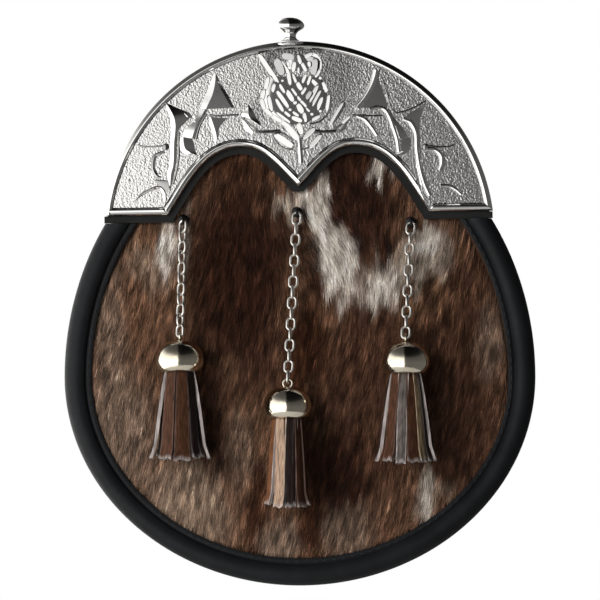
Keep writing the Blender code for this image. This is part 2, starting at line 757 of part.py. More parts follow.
def make_head_strands():
    """Two families of strands that cross over the thistle head, both at 45 degrees."""
    strands = []
    diagonal = math.sqrt(0.5)
    for side in (-1.0, 1.0):
        for offset in STRAND_OFFSETS:
            half = math.sqrt(1.0 - offset * offset) * STRAND_REACH
            sink = STRAND_SINK - (STRAND_STAGGER if side > 0.0 else 0.0)
            points = []
            for step in range(STRAND_STATIONS):
                along = half * (2.0 * step / (STRAND_STATIONS - 1) - 1.0)
                x = RELIEF_AXIS_X + HEAD_HALF_WIDTH * (along + offset) * diagonal * side
                z = HEAD_Z + HEAD_HALF_HEIGHT * (along - offset) * diagonal
                points.append((x, FIELD_FACE - head_height(x, z) + sink, z))
            strands.append(make_strand(points))
    return strands


def make_oval_strand(centre_x, centre_z, half_width, half_height, sides):
    """A closed raised loop on the field."""
    bpy.ops.mesh.primitive_torus_add(major_segments=sides, minor_segments=4,
                                     major_radius=1.0, minor_radius=0.5)
    made = bpy.context.object
    mesh = made.data
    bpy.data.objects.remove(made, do_unlink=True)
    for vertex in mesh.vertices:
        x, y, z = vertex.co
        angle = math.atan2(y, x)
        out = math.hypot(x, y) - 1.0
        radius_x = half_width + out * 2.0 * STRAND_RADIUS
        radius_z = half_height + out * 2.0 * STRAND_RADIUS
        vertex.co = (centre_x + radius_x * math.cos(angle),
                     FIELD_FACE - LOOP_RISE - z * 2.0 * STRAND_RADIUS,
                     centre_z + radius_z * math.sin(angle))
    piece = add_mesh_object("oval", mesh)
    bm = bmesh.new()
    bm.from_mesh(mesh)
    bmesh.ops.recalc_face_normals(bm, faces=bm.faces)
    bm.to_mesh(mesh)
    bm.free()
    return piece


def make_thistle():
    """The thistle: its head, its rim strand, the two loops of its flower and its stem."""
    pieces = [make_head_boss()]
    pieces += make_head_strands()
    pieces.append(make_oval_strand(RELIEF_AXIS_X, HEAD_Z, HEAD_HALF_WIDTH, HEAD_HALF_HEIGHT, 16))
    for side in (-1.0, 1.0):
        pieces.append(make_oval_strand(RELIEF_AXIS_X + side * FLOWER_LOBE_X, FLOWER_Z,
                                       FLOWER_HALF_WIDTH, FLOWER_HALF_HEIGHT, 10))
    stem = []
    for step in range(STEM_STEPS + 1):
        part = step / STEM_STEPS
        z = STEM_TOP_Z + (STEM_FOOT_Z - STEM_TOP_Z) * part
        stem.append((RELIEF_AXIS_X + STEM_SHIFT * part, FIELD_FACE - STEM_RISE, z))
    pieces.append(make_strand(stem, STEM_RADIUS))
    return pieces


def make_cantle():
    """The cast cantle, with its relief fused to it, bent to the front."""
    plate = make_cantle_plate()
    pieces = [make_return_wall()]
    for side in (-1.0, 1.0):
        pieces += [make_leaf(row, side) for row in LEAVES if ONE_SIDED.get(row[0], side) == side]
    pieces += make_thistle()
    cantle = fuse("cantle", plate, pieces, CAST_METAL)
    split_across(cantle, CANTLE_RADIUS)
    return smooth(lay_on_front(cantle), 25.0)


def make_cantle_backing():
    """The leather behind the cantle, which shows as a border under its lower edge."""
    lobes = offset_path(lobes_outline(), -BACKING_MARGIN)
    foot_z = CANTLE_FOOT_Z - BACKING_MARGIN - 0.1 * MM
    lobes[0] = (lobes[0][0], foot_z)
    lobes[-1] = (lobes[-1][0], foot_z)
    step_z = CANTLE_FOOT_Z - GAP
    outline = top_arc(BACKING_RADIUS, CANTLE_FOOT_Z, ARC_STATIONS)
    outline += [(BACKING_FOOT_HALF, step_z), (BACKING_FOOT_HALF, foot_z)]
    outline += lobes
    outline += [(-BACKING_FOOT_HALF, foot_z), (-BACKING_FOOT_HALF, step_z)]
    backing = flat_piece("cantle_backing", outline, BACKING_BACK, BACKING_FACE, BLACK_LEATHER)
    split_across(set_askew(backing), BACKING_RADIUS)
    return lay_on_front(backing)


def make_cantle_knob():
    """The turned knob that stands on the cantle's top edge."""
    profile = [(0.0, KNOB_PROFILE[0][2] + 0.3 * MM)]
    profile += [(radius, height) for name, radius, height in KNOB_PROFILE]
    profile.append((0.0, KNOB_PROFILE[-1][2]))
    knob = turned("cantle_knob", profile, KNOB_SIDES, CAST_METAL)
    top_z = CANTLE_CENTRE_Z + CANTLE_RADIUS + GAP
    y = front_y(KNOB_X, top_z) + KNOB_HEIGHT_OVER_FRONT
    place(knob, Matrix.Translation((KNOB_X, y, top_z)))
    return smooth(knob)


# ---------------------------------------------------------------- the tassels

def make_link(name):
    """One chain link, upright in the XZ plane about the origin."""
    radius = LINK_WIDTH / 2.0 - LINK_WIRE
    straight = (LINK_LENGTH - LINK_WIDTH) / 2.0
    link = ring(name, radius, LINK_WIRE, LINK_SIDES, WIRE_SIDES)
    place(link, Matrix.Rotation(math.pi / LINK_SIDES, 4, "Y"))
    for vertex in link.data.vertices:
        vertex.co.z += math.copysign(straight, vertex.co.z)
    return link


def eye_matrix(tassel):
    """Where an eye stands on the hide."""
    x, z = tassel["eye_x"], tassel["eye_z"]
    return Matrix.Translation((x, hair_y(x, z) - EYE_STANDOFF, z))


def make_tassel_eye(tassel):
    """A small washer on the hide, with a wire loop in front of it."""
    bm = bmesh.new()
    bmesh.ops.create_cone(bm, cap_ends=True, segments=8, radius1=EYE_WASHER_RADIUS,
                          radius2=EYE_WASHER_RADIUS * 0.75, depth=EYE_WASHER_THICKNESS)
    washer = bm_object("washer", bm)
    turn = Matrix.Rotation(math.pi / 2.0, 4, "X")
    place(washer, Matrix.Translation((0.0, -EYE_WASHER_THICKNESS / 2.0, 0.0)) @ turn)
    loop = ring("loop", EYE_LOOP_RADIUS, EYE_WIRE, LINK_SIDES, WIRE_SIDES)
    place(loop, Matrix.Translation((0.0, -EYE_WASHER_THICKNESS - 1.2 * MM, 0.0))
          @ Matrix.Rotation(math.pi / 2.0, 4, "Z"))
    eye = fuse("tassel_eye_" + tassel["side"], washer, [loop], BLACK_METAL)
    return place(eye, eye_matrix(tassel))


def chain_ends(tassel):
    """The middle of the first link's top wire and of the last link's bottom wire."""
    x, z = tassel["eye_x"], tassel["eye_z"]
    start = Vector((x, hair_y(x, z) - EYE_STANDOFF - EYE_WASHER_THICKNESS - 1.35 * MM, z - 0.3 * MM))
    apex = LINK_LENGTH / 2.0 - LINK_WIRE
    length = LINK_PITCH * (tassel["links"] - 1) + 2.0 * apex
    end_x = tassel["cap_x"]
    end_z = z - length
    end = start
    for attempt in range(20):
        cap_middle_z = end_z - CAP_HEIGHT * 0.6
        back = CAP_RADIUS + CAP_CLEARANCE
        end_y = hair_y(end_x, cap_middle_z) - back + math.sin(TASSEL_TILT) * CAP_HEIGHT * 0.6
        reach = Vector((end_x, end_y, end_z)) - start
        end = start + reach.normalized() * length
        end_z = end.z
    return start, end


def make_tassel_chain(tassel):
    """The links, each turned a quarter from the last, fused where they hook into each other."""
    start, end = chain_ends(tassel)
    down = (end - start).normalized()
    side = Vector((1.0, 0.0, 0.0))
    side = (side - down * side.dot(down)).normalized()
    depth = side.cross(-down).normalized()
    apex = LINK_LENGTH / 2.0 - LINK_WIRE
    links = []
    for index in range(tassel["links"]):
        middle = start + down * (apex + LINK_PITCH * index)
        across, through_way = (side, -depth) if index % 2 == 0 else (depth, side)
        turn = Matrix((across, through_way, -down)).transposed().to_4x4()
        link = make_link("link")
        links.append(place(link, Matrix.Translation(middle) @ turn))
    return smooth(fuse("tassel_chain_" + tassel["side"], links[0], links[1:], NICKEL), 60.0)


def cap_matrix(tassel):
    """The frame of a cap: its origin on the top of the dome, its axis tilted with the front."""
    end = chain_ends(tassel)[1]
    hook = LINK_WIRE + EYE_WIRE + 2.0 * GAP
    rise = 2.0 * CAP_LOOP_RADIUS - hook
    top = end - Vector((0.0, 0.0, rise - 0.35 * MM))
    return Matrix.Translation(top) @ Matrix.Rotation(-TASSEL_TILT, 4, "X")


def cap_radius(part, inset):
    """The cap's radius at a part of its height from the top, moved in by the inset."""
    belly = 0.62
    if part < belly:
        angle = math.acos(1.0 - part / belly)
        return CAP_TOP_RADIUS + (CAP_RADIUS - CAP_TOP_RADIUS) * math.sin(angle) - inset
    fall = (part - belly) / (1.0 - belly)
    return CAP_RADIUS - (CAP_RADIUS - CAP_MOUTH_RADIUS) * fall ** 1.6 - inset


def make_tassel_cap(tassel):
    """The bell cap, a thin turned shell with a wire loop on top."""
    outer = [(0.0, 0.0)]
    inner = []
    for step in range(CAP_STATIONS + 1):
        part = (step / CAP_STATIONS) ** 1.35
        outer.append((cap_radius(part, 0.0), -CAP_HEIGHT * part))
        if step > 0:
            inner.append((cap_radius(part, CAP_WALL), -CAP_WALL - (CAP_HEIGHT - CAP_WALL) * part))
    inner[-1] = (inner[-1][0], -CAP_HEIGHT)
    profile = outer + list(reversed(inner)) + [(0.0, -CAP_WALL)]
    shell = turned("shell", profile, CAP_SIDES)
    loop = ring("loop", CAP_LOOP_RADIUS, EYE_WIRE, LINK_SIDES, WIRE_SIDES)
    place(loop, Matrix.Translation((0.0, 0.0, CAP_LOOP_RADIUS - 0.35 * MM)))
    if tassel["links"] % 2 == 1:
        place(loop, Matrix.Rotation(math.pi / 2.0, 4, "Z"))
    cap = fuse("tassel_cap_" + tassel["side"], shell, [loop], NICKEL)
    return smooth(place(cap, cap_matrix(tassel)), 50.0)


def strip_section(tassel, angle, drop, part):
    """The four corners of a strip's section at a part of its length."""
    flare = part ** 0.8
    half_x = STRIP_TOP_RADIUS + (tassel["foot_half_width"] - STRIP_TOP_RADIUS) * flare
    half_y = STRIP_TOP_RADIUS + (tassel["foot_half_depth"] - STRIP_TOP_RADIUS) * flare
    shift = tassel["foot_shift"] * flare
    middle = Vector((half_x * math.cos(angle) + shift, half_y * math.sin(angle), -drop))
    across = Vector((-half_x * math.sin(angle), half_y * math.cos(angle), 0.0)).normalized()
    out = Vector((across.y, -across.x, 0.0))
    foot_width = STRIP_FOOT_SPREAD * tassel["foot_half_width"]
    half = (STRIP_TOP_WIDTH + (foot_width - STRIP_TOP_WIDTH) * part) / 2.0
    thick = STRIP_THICKNESS / 2.0
    return [tuple(middle - across * half - out * thick), tuple(middle + across * half - out * thick),
            tuple(middle + across * half + out * thick), tuple(middle - across * half + out * thick)]


def make_tassel_strips(tassel):
    """The hide strips, fused at their tops to a round plug inside the cap."""
    plug_top = CAP_WALL + 2.2 * MM
    mouth = CAP_HEIGHT
    bm = bmesh.new()
    bmesh.ops.create_cone(bm, cap_ends=True, segments=14, radius1=HEAD_PLUG_RADIUS,
                          radius2=HEAD_PLUG_RADIUS - 1.0 * MM, depth=HEAD_PLUG_HEIGHT)
    plug = bm_object("plug", bm)
    place(plug, Matrix.Translation((0.0, 0.0, -plug_top - HEAD_PLUG_HEIGHT / 2.0)))
    strips = []
    for index in range(STRIP_COUNT):
        angle = -math.pi / 2.0 + 2.0 * math.pi * index / STRIP_COUNT
        sections = [strip_section(tassel, angle, plug_top + 1.5 * MM, 0.0)]
        for step in range(STRIP_STATIONS + 1):
            part = step / STRIP_STATIONS
            sections.append(strip_section(tassel, angle, mouth + STRIP_LENGTH * part, part))
        strips.append(loft("strip", sections))
    fused = fuse("tassel_strips_" + tassel["side"], plug, strips, HIDE)
    return smooth(place(fused, cap_matrix(tassel)), 30.0)


def make_sporran():
    """Every piece of the sporran."""
    make_back_panel()
    make_front_panel()
    make_front_binding()
    make_gusset()
    make_belt_loop("left", -LOOP_CENTRE_X)
    make_belt_loop("right", LOOP_CENTRE_X)
    make_cantle_backing()
    make_cantle()
    make_cantle_knob()
    for tassel in TASSELS:
        make_tassel_eye(tassel)
        make_tassel_chain(tassel)
        make_tassel_cap(tassel)
        make_tassel_strips(tassel)


make_sporran()
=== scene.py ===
"""The finished look of a dress sporran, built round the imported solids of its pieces.

Everything is in metres in the pouch's own frame: X runs to the right as seen from the front, the
front faces -Y and +Z is up.  The origin lies between the two belt loops on the rear face of the
back panel.  Heights over the front plane are negative towards the viewer, as the front faces -Y.
"""

import logging
import math
from dataclasses import dataclass
from enum import Enum
from typing import Callable, Sequence

import bpy
import numpy as np
from mathutils import Matrix, Vector, noise


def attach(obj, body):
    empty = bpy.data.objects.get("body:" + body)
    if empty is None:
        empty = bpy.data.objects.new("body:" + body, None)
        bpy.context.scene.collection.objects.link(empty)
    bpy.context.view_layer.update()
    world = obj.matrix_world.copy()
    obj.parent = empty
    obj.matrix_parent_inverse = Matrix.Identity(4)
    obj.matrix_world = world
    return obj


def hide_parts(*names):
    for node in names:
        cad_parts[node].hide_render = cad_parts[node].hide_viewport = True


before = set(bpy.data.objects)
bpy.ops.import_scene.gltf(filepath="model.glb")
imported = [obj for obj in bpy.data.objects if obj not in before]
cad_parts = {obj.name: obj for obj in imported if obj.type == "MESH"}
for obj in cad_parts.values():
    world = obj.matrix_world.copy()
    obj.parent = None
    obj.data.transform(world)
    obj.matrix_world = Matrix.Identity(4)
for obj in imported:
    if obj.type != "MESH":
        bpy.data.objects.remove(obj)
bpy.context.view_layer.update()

LOG = logging.getLogger("sporran")
MM = 0.001
BODY = "root"
MERGE_REACH = 0.004 * MM
POLE = 0.02 * MM
QUARTER_TURN = Matrix.Rotation(math.pi / 2.0, 4, "Z")
Array = np.ndarray
Piece = bpy.types.Object
Span = tuple[float, float]
Profile = Sequence[Span]
Colour = tuple[float, float, float]
Socket = bpy.types.NodeSocket
Place = Callable[[Array, Array], Array]


class Slot(Enum):
    """The record's material slots."""

    CAST_METAL = "cast_metal"
    NICKEL = "nickel"
    BLACK_METAL = "black_metal"
    BLACK_LEATHER = "black_leather"
    HIDE = "hair_on_hide"


class Side(Enum):
    """The three tassels, from left to right as seen from the front."""

    LEFT = "left"
    MIDDLE = "middle"
    RIGHT = "right"


# ---------------------------------------------------------------- places and directions

def rows(*parts: float | Array) -> Array:
    """Rows of points, or of flat places, from their coordinates."""
    return np.stack(np.broadcast_arrays(*parts), axis=-1)


def arc(half_width: float, centre_z: float, rise: float | Array, angle: Array) -> Array:
    """Places of (x, z) on a round or oval arc about the Z axis.

    Args:
        half_width: of the whole oval.
        centre_z: how high its middle lies.
        rise: from its middle to its top.
        angle: of each place, from the right over the top.

    Returns:
        Rows of (x, z).
    """
    return rows(half_width * np.cos(angle), centre_z + rise * np.sin(angle))


def arch_angles(steps: int) -> Array:
    """The angles of an arch from left to right, without its feet."""
    return np.linspace(math.pi, 0.0, steps + 1)[1:-1]


def directions(line: Array, edge_order: int = 1) -> Array:
    """The unit direction of a line at each of its places."""
    along = np.gradient(line, axis=0, edge_order=edge_order)
    return along / np.linalg.norm(along, axis=1)[:, None]


def turned_right(flat: Array) -> Array:
    """Directions of (x, z) turned a quarter to the right."""
    return rows(flat[..., 1], -flat[..., 0])


def mirrored(half: Array) -> Array:
    """The left half of a line of (x, z), in the order that goes on from its right half."""
    return (half * np.array([-1.0, 1.0]))[::-1]


def in_metres(profile: Profile) -> list[Span]:
    """A profile that is given in millimetres."""
    return [(first * MM, second * MM) for first, second in profile]


def cell(part: Array, count: int) -> Array:
    """The numbers of places that lie at parts of a row of count steps."""
    return np.rint(part * count).astype(int)


# ---------------------------------------------------------------- the pouch's form

@dataclass(frozen=True)
class PouchForm:
    """The outline of the pouch and the leaning, bowed front that everything lies on."""

    half_width: float = 100.5 * MM
    widest_z: float = -96.3 * MM
    lower_rise: float = 88.7 * MM
    upper_rise: float = 115.9 * MM
    shoulder_z: float = -30.9 * MM
    right_shoulder_z: float = -28.92 * MM
    left_shoulder_z: float = -31.22 * MM
    shoulder_depth: float = 24.0 * MM
    lean: float = 0.055
    bow_radius: float = 800.0 * MM
    hide_thickness: float = 3.5 * MM
    swell: float = 5.0 * MM
    swell_half_width: float = 87.0 * MM
    swell_centre_z: float = -100.0 * MM
    swell_rise: float = 68.0 * MM
    swell_drop: float = 72.0 * MM
    swell_power: float = 1.3

    def front_y(self, x: Array, z: Array) -> Array:
        """Where the front plane lies at a place on the front."""
        return x * x / (2.0 * self.bow_radius) - self.shoulder_depth - self.lean * (self.shoulder_z - z)

    def on_front(self, flat: Array, height: float | Array) -> Array:
        """Places of (x, z) at a height over the front plane, as points in space."""
        x, z = flat[:, 0], flat[:, 1]
        return rows(x, self.front_y(x, z) + height, z)

    def hair_y(self, x: Array, z: Array) -> Array:
        """Where the outer face of the hide lies."""
        rise = np.where(z > self.swell_centre_z, self.swell_rise, self.swell_drop)
        reach = (x / self.swell_half_width) ** 2 + ((z - self.swell_centre_z) / rise) ** 2
        bulge = self.swell * np.maximum(0.0, 1.0 - reach) ** self.swell_power
        return self.front_y(x, z) - self.hide_thickness - bulge

    def side_outline(self, inset: float, stations: int) -> Array:
        """The outline from the right shoulder, round the bottom, to the left shoulder.

        Args:
            inset: how far inside the outline the line runs.
            stations: the number of steps along it.

        Returns:
            Points of (x, z).
        """
        right = math.asin((self.right_shoulder_z - self.widest_z) / (self.upper_rise - inset))
        left = math.asin((self.left_shoulder_z - self.widest_z) / (self.upper_rise - inset))
        angle = np.linspace(right, -math.pi - left, stations + 1)
        rise = np.where(np.sin(angle) > 0.0, self.upper_rise, self.lower_rise) - inset
        return arc(self.half_width - inset, self.widest_z, rise, angle)

    def inside(self, x: Array, z: Array, inset: float) -> Array:
        """Whether places lie inside the outline moved in by the inset."""
        rise = np.where(z > self.widest_z, self.upper_rise, self.lower_rise) - inset
        return (x / (self.half_width - inset)) ** 2 + ((z - self.widest_z) / rise) ** 2 < 1.0


FORM = PouchForm()


# ---------------------------------------------------------------- ways of working

def deselect_all() -> None:
    """Leave edit mode and select nothing."""
    if bpy.context.object is not None and bpy.context.object.mode != "OBJECT":
        bpy.ops.object.mode_set(mode="OBJECT")
    bpy.ops.object.select_all(action="DESELECT")


def select_only(piece: Piece) -> None:
    """Select one object and make it the active one."""
    deselect_all()
    piece.select_set(True)
    bpy.context.view_layer.objects.active = piece


def edit(piece: Piece) -> None:
    """Start editing one object, with all of its mesh selected."""
    select_only(piece)
    bpy.ops.object.mode_set(mode="EDIT")
    bpy.ops.mesh.select_all(action="SELECT")


def turned_outwards(piece: Piece) -> Piece:
    """Turn all faces of a piece outwards."""
    edit(piece)
    bpy.ops.mesh.normals_make_consistent(inside=False)
    bpy.ops.object.mode_set(mode="OBJECT")
    return piece


def close_seams(piece: Piece) -> Piece:
    """Merge doubled points, fill open ends and turn all faces outwards."""
    edit(piece)
    bpy.ops.mesh.remove_doubles(threshold=MERGE_REACH)
    bpy.ops.mesh.fill_holes(sides=0)
    return turned_outwards(piece)


def coordinates(mesh: bpy.types.Mesh) -> Array:
    """All points of a mesh as an array of rows."""
    flat = np.empty(len(mesh.vertices) * 3, dtype=np.float32)
    mesh.vertices.foreach_get("co", flat)
    return flat.reshape(-1, 3).astype(float)


def set_coordinates(mesh: bpy.types.Mesh, points: Array) -> None:
    """Move all points of a mesh."""
    mesh.vertices.foreach_set("co", points.astype(np.float32).ravel())
    mesh.update()


def laid_sheet(name: str, columns: int, lines: int, place: Place) -> Piece:
    """A grid primitive whose points are laid along a surface.

    Args:
        name: the object's name.
        columns: faces along u.
        lines: faces along v.
        place: gives the points for arrays of u and v, both from 0 to 1.

    Returns:
        The sheet; its points stay in the grid's order, line by line.
    """
    deselect_all()
    bpy.ops.mesh.primitive_grid_add(x_subdivisions=columns, y_subdivisions=lines, size=1.0)
    piece = bpy.context.object
    piece.name = name
    flat = coordinates(piece.data)
    u = np.rint((flat[:, 0] + 0.5) * columns) / columns
    v = np.rint((flat[:, 1] + 0.5) * lines) / lines
    set_coordinates(piece.data, place(u, v))
    return piece


def looked_up(name: str, table: Array, round_v: bool = False) -> Piece:
    """A closed sheet of points that a table gives, round along u and, if asked, along v.

    Args:
        name: the object's name.
        table: the points in space, line by line.
        round_v: whether the last line goes on at the first.

    Returns:
        The sheet, its seams still open.
    """
    lines, columns = table.shape[:2]
    steps = lines if round_v else lines - 1

    def place(u: Array, v: Array) -> Array:
        """Find the points in the table."""
        return table[cell(v, steps) % lines, cell(u, columns) % columns]

    return laid_sheet(name, columns, steps, place)


def turned(name: str, profile: Profile, sides: int) -> Piece:
    """A profile of (radius, height) turned about Z: a circle, extruded and resized row by row."""
    deselect_all()
    radius, height = profile[0]
    bpy.ops.mesh.primitive_circle_add(vertices=sides, radius=radius, location=(0.0, 0.0, height))
    piece = bpy.context.object
    piece.name = name
    bpy.ops.object.transform_apply(location=True)
    edit(piece)
    for next_radius, next_height in profile[1:]:
        bpy.ops.mesh.extrude_region_move(
            TRANSFORM_OT_translate={"value": (0.0, 0.0, next_height - height)})
        ratio = next_radius / radius
        bpy.ops.transform.resize(value=(ratio, ratio, 1.0), center_override=(0.0, 0.0, next_height))
        radius, height = next_radius, next_height
    bpy.ops.object.mode_set(mode="OBJECT")
    return close_seams(piece)


def wire_ring(name: str, radius: float, wire: float, straight: float = 0.0) -> Piece:
    """A wire link in the XZ plane: a torus whose halves are moved apart by its straight sides."""
    deselect_all()
    bpy.ops.mesh.primitive_torus_add(major_segments=28, minor_segments=10, major_radius=radius,
                                     minor_radius=wire, rotation=(math.pi / 2.0, 0.0, 0.0))
    piece = bpy.context.object
    piece.name = name
    bpy.ops.object.transform_apply(rotation=True)
    points = coordinates(piece.data)
    points[:, 2] += np.where(points[:, 2] > 0.0, straight, -straight)
    set_coordinates(piece.data, points)
    return piece


def unit_ball(segments: int, rings: int) -> Piece:
    """A ball with a radius of one."""
    deselect_all()
    bpy.ops.mesh.primitive_uv_sphere_add(segments=segments, ring_count=rings, radius=1.0)
    return bpy.context.object


def linked(name: str, data: bpy.types.ID) -> Piece:
    """A new object in the scene for a mesh, a curve, a light or a camera."""
    made = bpy.data.objects.new(name, data)
    bpy.context.scene.collection.objects.link(made)
    return made


def meshed(name: str, points: Array, faces: Sequence[Sequence[int]]) -> Piece:
    """A piece from its points and faces."""
    mesh = bpy.data.meshes.new(name)
    mesh.from_pydata(points.tolist(), [], faces)
    return linked(name, mesh)


def joined(name: str, pieces: Sequence[Piece]) -> Piece:
    """Join pieces into one object."""
    deselect_all()
    for piece in pieces:
        piece.select_set(True)
    bpy.context.view_layer.objects.active = pieces[0]
    bpy.ops.object.join()
    pieces[0].name = name
    return pieces[0]


def many(name: str, template: Piece, matrices: Sequence[Matrix]) -> Piece:
    """One mesh of many small copies of a template, which is then removed."""
    points = coordinates(template.data)
    turns = [np.array(matrix) for matrix in matrices]
    all_points = [points @ turn[:3, :3].T + turn[:3, 3] for turn in turns]
    all_faces = [tuple(corner + index * len(points) for corner in face.vertices)
                 for index in range(len(turns)) for face in template.data.polygons]
    bpy.data.objects.remove(template, do_unlink=True)
    return meshed(name, np.concatenate(all_points), all_faces)


def applied(piece: Piece, kind: str, **settings: object) -> Piece:
    """Add a modifier and apply it."""
    select_only(piece)
    modifier = piece.modifiers.new(kind.lower(), kind)
    for key, value in settings.items():
        setattr(modifier, key, value)
    bpy.ops.object.modifier_apply(modifier=modifier.name)
    return piece


def spline(points: Sequence[Sequence[float]], count: int) -> Array:
    """A smooth curve through points of any dimension, as count + 1 evenly numbered points."""
    known = np.asarray(points, dtype=float)
    padded = np.vstack([2.0 * known[0] - known[1], known, 2.0 * known[-1] - known[-2]])
    place = np.linspace(0.0, len(known) - 1, count + 1)
    segment = np.minimum(place.astype(int), len(known) - 2)
    t = (place - segment)[:, None]
    a, b, c, d = (padded[segment + shift] for shift in range(4))
    return 0.5 * (2.0 * b + (c - a) * t + (2.0 * a - 5.0 * b + 4.0 * c - d) * t ** 2
                  + (3.0 * b - a - 3.0 * c + d) * t ** 3)


def tube(name: str, points: Array, radius: float, sides: int) -> Piece:
    """A round strand along points: a bevelled curve with filled caps, made a mesh."""
    curve = bpy.data.curves.new(name, "CURVE")
    curve.dimensions = "3D"
    curve.bevel_depth = radius
    curve.bevel_resolution = sides // 2 - 2
    curve.use_fill_caps = True
    line = curve.splines.new("POLY")
    line.points.add(len(points) - 1)
    for knot, place in zip(line.points, points):
        knot.co = (*place, 1.0)
    select_only(linked(name, curve))
    bpy.ops.object.convert(target="MESH")
    return close_seams(bpy.context.object)


def add_tones(piece: Piece, name: str, tones: Array) -> None:
    """Give each point of a mesh a value or a colour.

    Args:
        piece: the object.
        name: the attribute's name.
        tones: one number, or one colour of three numbers, for each point.
    """
    if tones.ndim == 1:
        tones = np.repeat(tones[:, None], 3, axis=1)
    colours = np.hstack([tones, np.ones((len(tones), 1))])
    layer = piece.data.color_attributes.new(name, "FLOAT_COLOR", "POINT")
    layer.data.foreach_set("color", colours.astype(np.float32).ravel())


def with_patina_and_shade(piece: Piece, darkness: float) -> Piece:
    """Darken a piece of the cantle evenly: patina on its sunk grounds, painted shade on its dark lines and
    grey bars.
    """
    add_tones(piece, "patina_and_shade", np.full(len(piece.data.vertices), darkness))
    return piece


def fine_noise(points: Array, scale: float) -> Array:
    """Smooth noise from about -1 to 1 at places in metres, in two layers.

    Args:
        points: rows of x, y, z.
        scale: how many noise cells fit in a metre.

    Returns:
        One number for each row.
    """
    found = np.zeros(len(points))
    for step in (1.0, 2.0):
        places = points * (scale * step)
        found += np.array([noise.noise(Vector(place)) for place in places.tolist()]) / step
    return found


# ---------------------------------------------------------------- finishes

class Desk:
    """Lays out the nodes of one tree."""

    def __init__(self, tree: bpy.types.NodeTree) -> None:
        """Start at a tree."""
        self.tree = tree

    def node(self, kind: str, inputs: dict[object, object] | None = None,
             **settings: object) -> bpy.types.Node:
        """Add a node.

        Args:
            kind: the node's type, without its first words.
            inputs: what goes into its sockets, each by its name or number: a socket or a value.
            settings: the node's own properties.

        Returns:
            The node.
        """
        made = self.tree.nodes.new("ShaderNode" + kind)
        for key, value in settings.items():
            setattr(made, key, value)
        for key, value in (inputs or {}).items():
            if isinstance(value, bpy.types.NodeSocket):
                self.tree.links.new(value, made.inputs[key])
            else:
                made.inputs[key].default_value = value
        return made


class FinishDesk(Desk):
    """Lays out the nodes of one procedural material."""

    def __init__(self, name: str, **values: object) -> None:
        """Start a material with a Principled BSDF, its sockets named with underscores for spaces."""
        self.material = bpy.data.materials.new(name)
        self.material.use_nodes = True
        super().__init__(self.material.node_tree)
        self.shader = self.tree.nodes["Principled BSDF"]
        for key, value in values.items():
            self.shader.inputs[key.replace("_", " ")].default_value = value

    def coordinates(self, stretch: tuple[float, float, float] = (1.0, 1.0, 1.0)) -> Socket:
        """The piece's own coordinates, stretched along each axis."""
        source = self.node("TexCoord").outputs["Object"]
        return self.node("Mapping", {"Vector": source, "Scale": stretch}).outputs["Vector"]

    def noise(self, place: Socket, scale: float, detail: float) -> Socket:
        """Smooth noise."""
        return self.node("TexNoise", {"Vector": place, "Scale": scale, "Detail": detail}).outputs["Fac"]

    def pebbles(self, place: Socket, scale: float) -> Socket:
        """The distance from the middles of scattered cells."""
        return self.node("TexVoronoi", {"Vector": place, "Scale": scale}, feature="F1").outputs["Distance"]

    def spread(self, value: Socket, low: float, high: float) -> Socket:
        """Spread the middle half of a value over a range."""
        ends = {"Value": value, "From Min": 0.25, "From Max": 0.75, "To Min": low, "To Max": high}
        return self.node("MapRange", ends).outputs["Result"]

    def mix(self, amount: Socket, first: Colour, second: Colour) -> Socket:
        """Mix two colours."""
        colours = {"Factor": amount, 6: (*first, 1.0), 7: (*second, 1.0)}
        return self.node("Mix", colours, data_type="RGBA").outputs[2]

    def product(self, first: Socket, second: Socket) -> Socket:
        """Multiply two colours."""
        colours = {"Factor": 1.0, 6: first, 7: second}
        return self.node("Mix", colours, data_type="RGBA", blend_type="MULTIPLY").outputs[2]

    def attribute(self, name: str, output: str) -> Socket:
        """A value or a colour that the piece carries at its points."""
        return self.node("Attribute", attribute_name=name).outputs[output]

    def paint(self, colour: Socket) -> None:
        """Give the shader its colour."""
        self.tree.links.new(colour, self.shader.inputs["Base Color"])

    def paint_patina_and_shade(self, colour: Colour, shade: Colour) -> None:
        """Colour the shader between its colour and its dark colour by the patina and painted shade that each
        place carries.
        """
        self.paint(self.mix(self.attribute("patina_and_shade", "Fac"), colour, shade))

    def roughen(self, value: Socket, ends: Span) -> None:
        """Let the roughness follow a value, between its ends."""
        self.tree.links.new(self.spread(value, *ends), self.shader.inputs["Roughness"])

    def bump(self, height: Socket, depth: float) -> None:
        """Add a bump of a depth in metres to the shader's normal."""
        made = self.node("Bump", {"Distance": depth, "Height": height})
        normal = self.shader.inputs["Normal"]
        if normal.links:
            self.tree.links.new(normal.links[0].from_socket, made.inputs["Normal"])
        self.tree.links.new(made.outputs["Normal"], normal)


@dataclass(frozen=True)
class MetalFinish:
    """Plated or cast metal; where the piece carries them, darker for patina in its recesses and for painted
    shade.
    """

    name: str
    slot: Slot
    colour: Colour
    shade: Colour
    roughness: Span
    grain_size: float
    grain_depth: float
    takes_patina_and_shade: bool = False

    def material(self) -> bpy.types.Material:
        """Build the material."""
        desk = FinishDesk(self.name, Metallic=1.0)
        place = desk.coordinates()
        smudge = desk.noise(place, 90.0, 4.0)
        if self.takes_patina_and_shade:
            desk.paint_patina_and_shade(self.colour, self.shade)
        else:
            desk.paint(desk.mix(desk.spread(smudge, 0.0, 0.6), self.colour, self.shade))
        desk.roughen(smudge, self.roughness)
        desk.bump(desk.noise(place, 1.0 / self.grain_size, 4.0), self.grain_depth)
        return desk.material


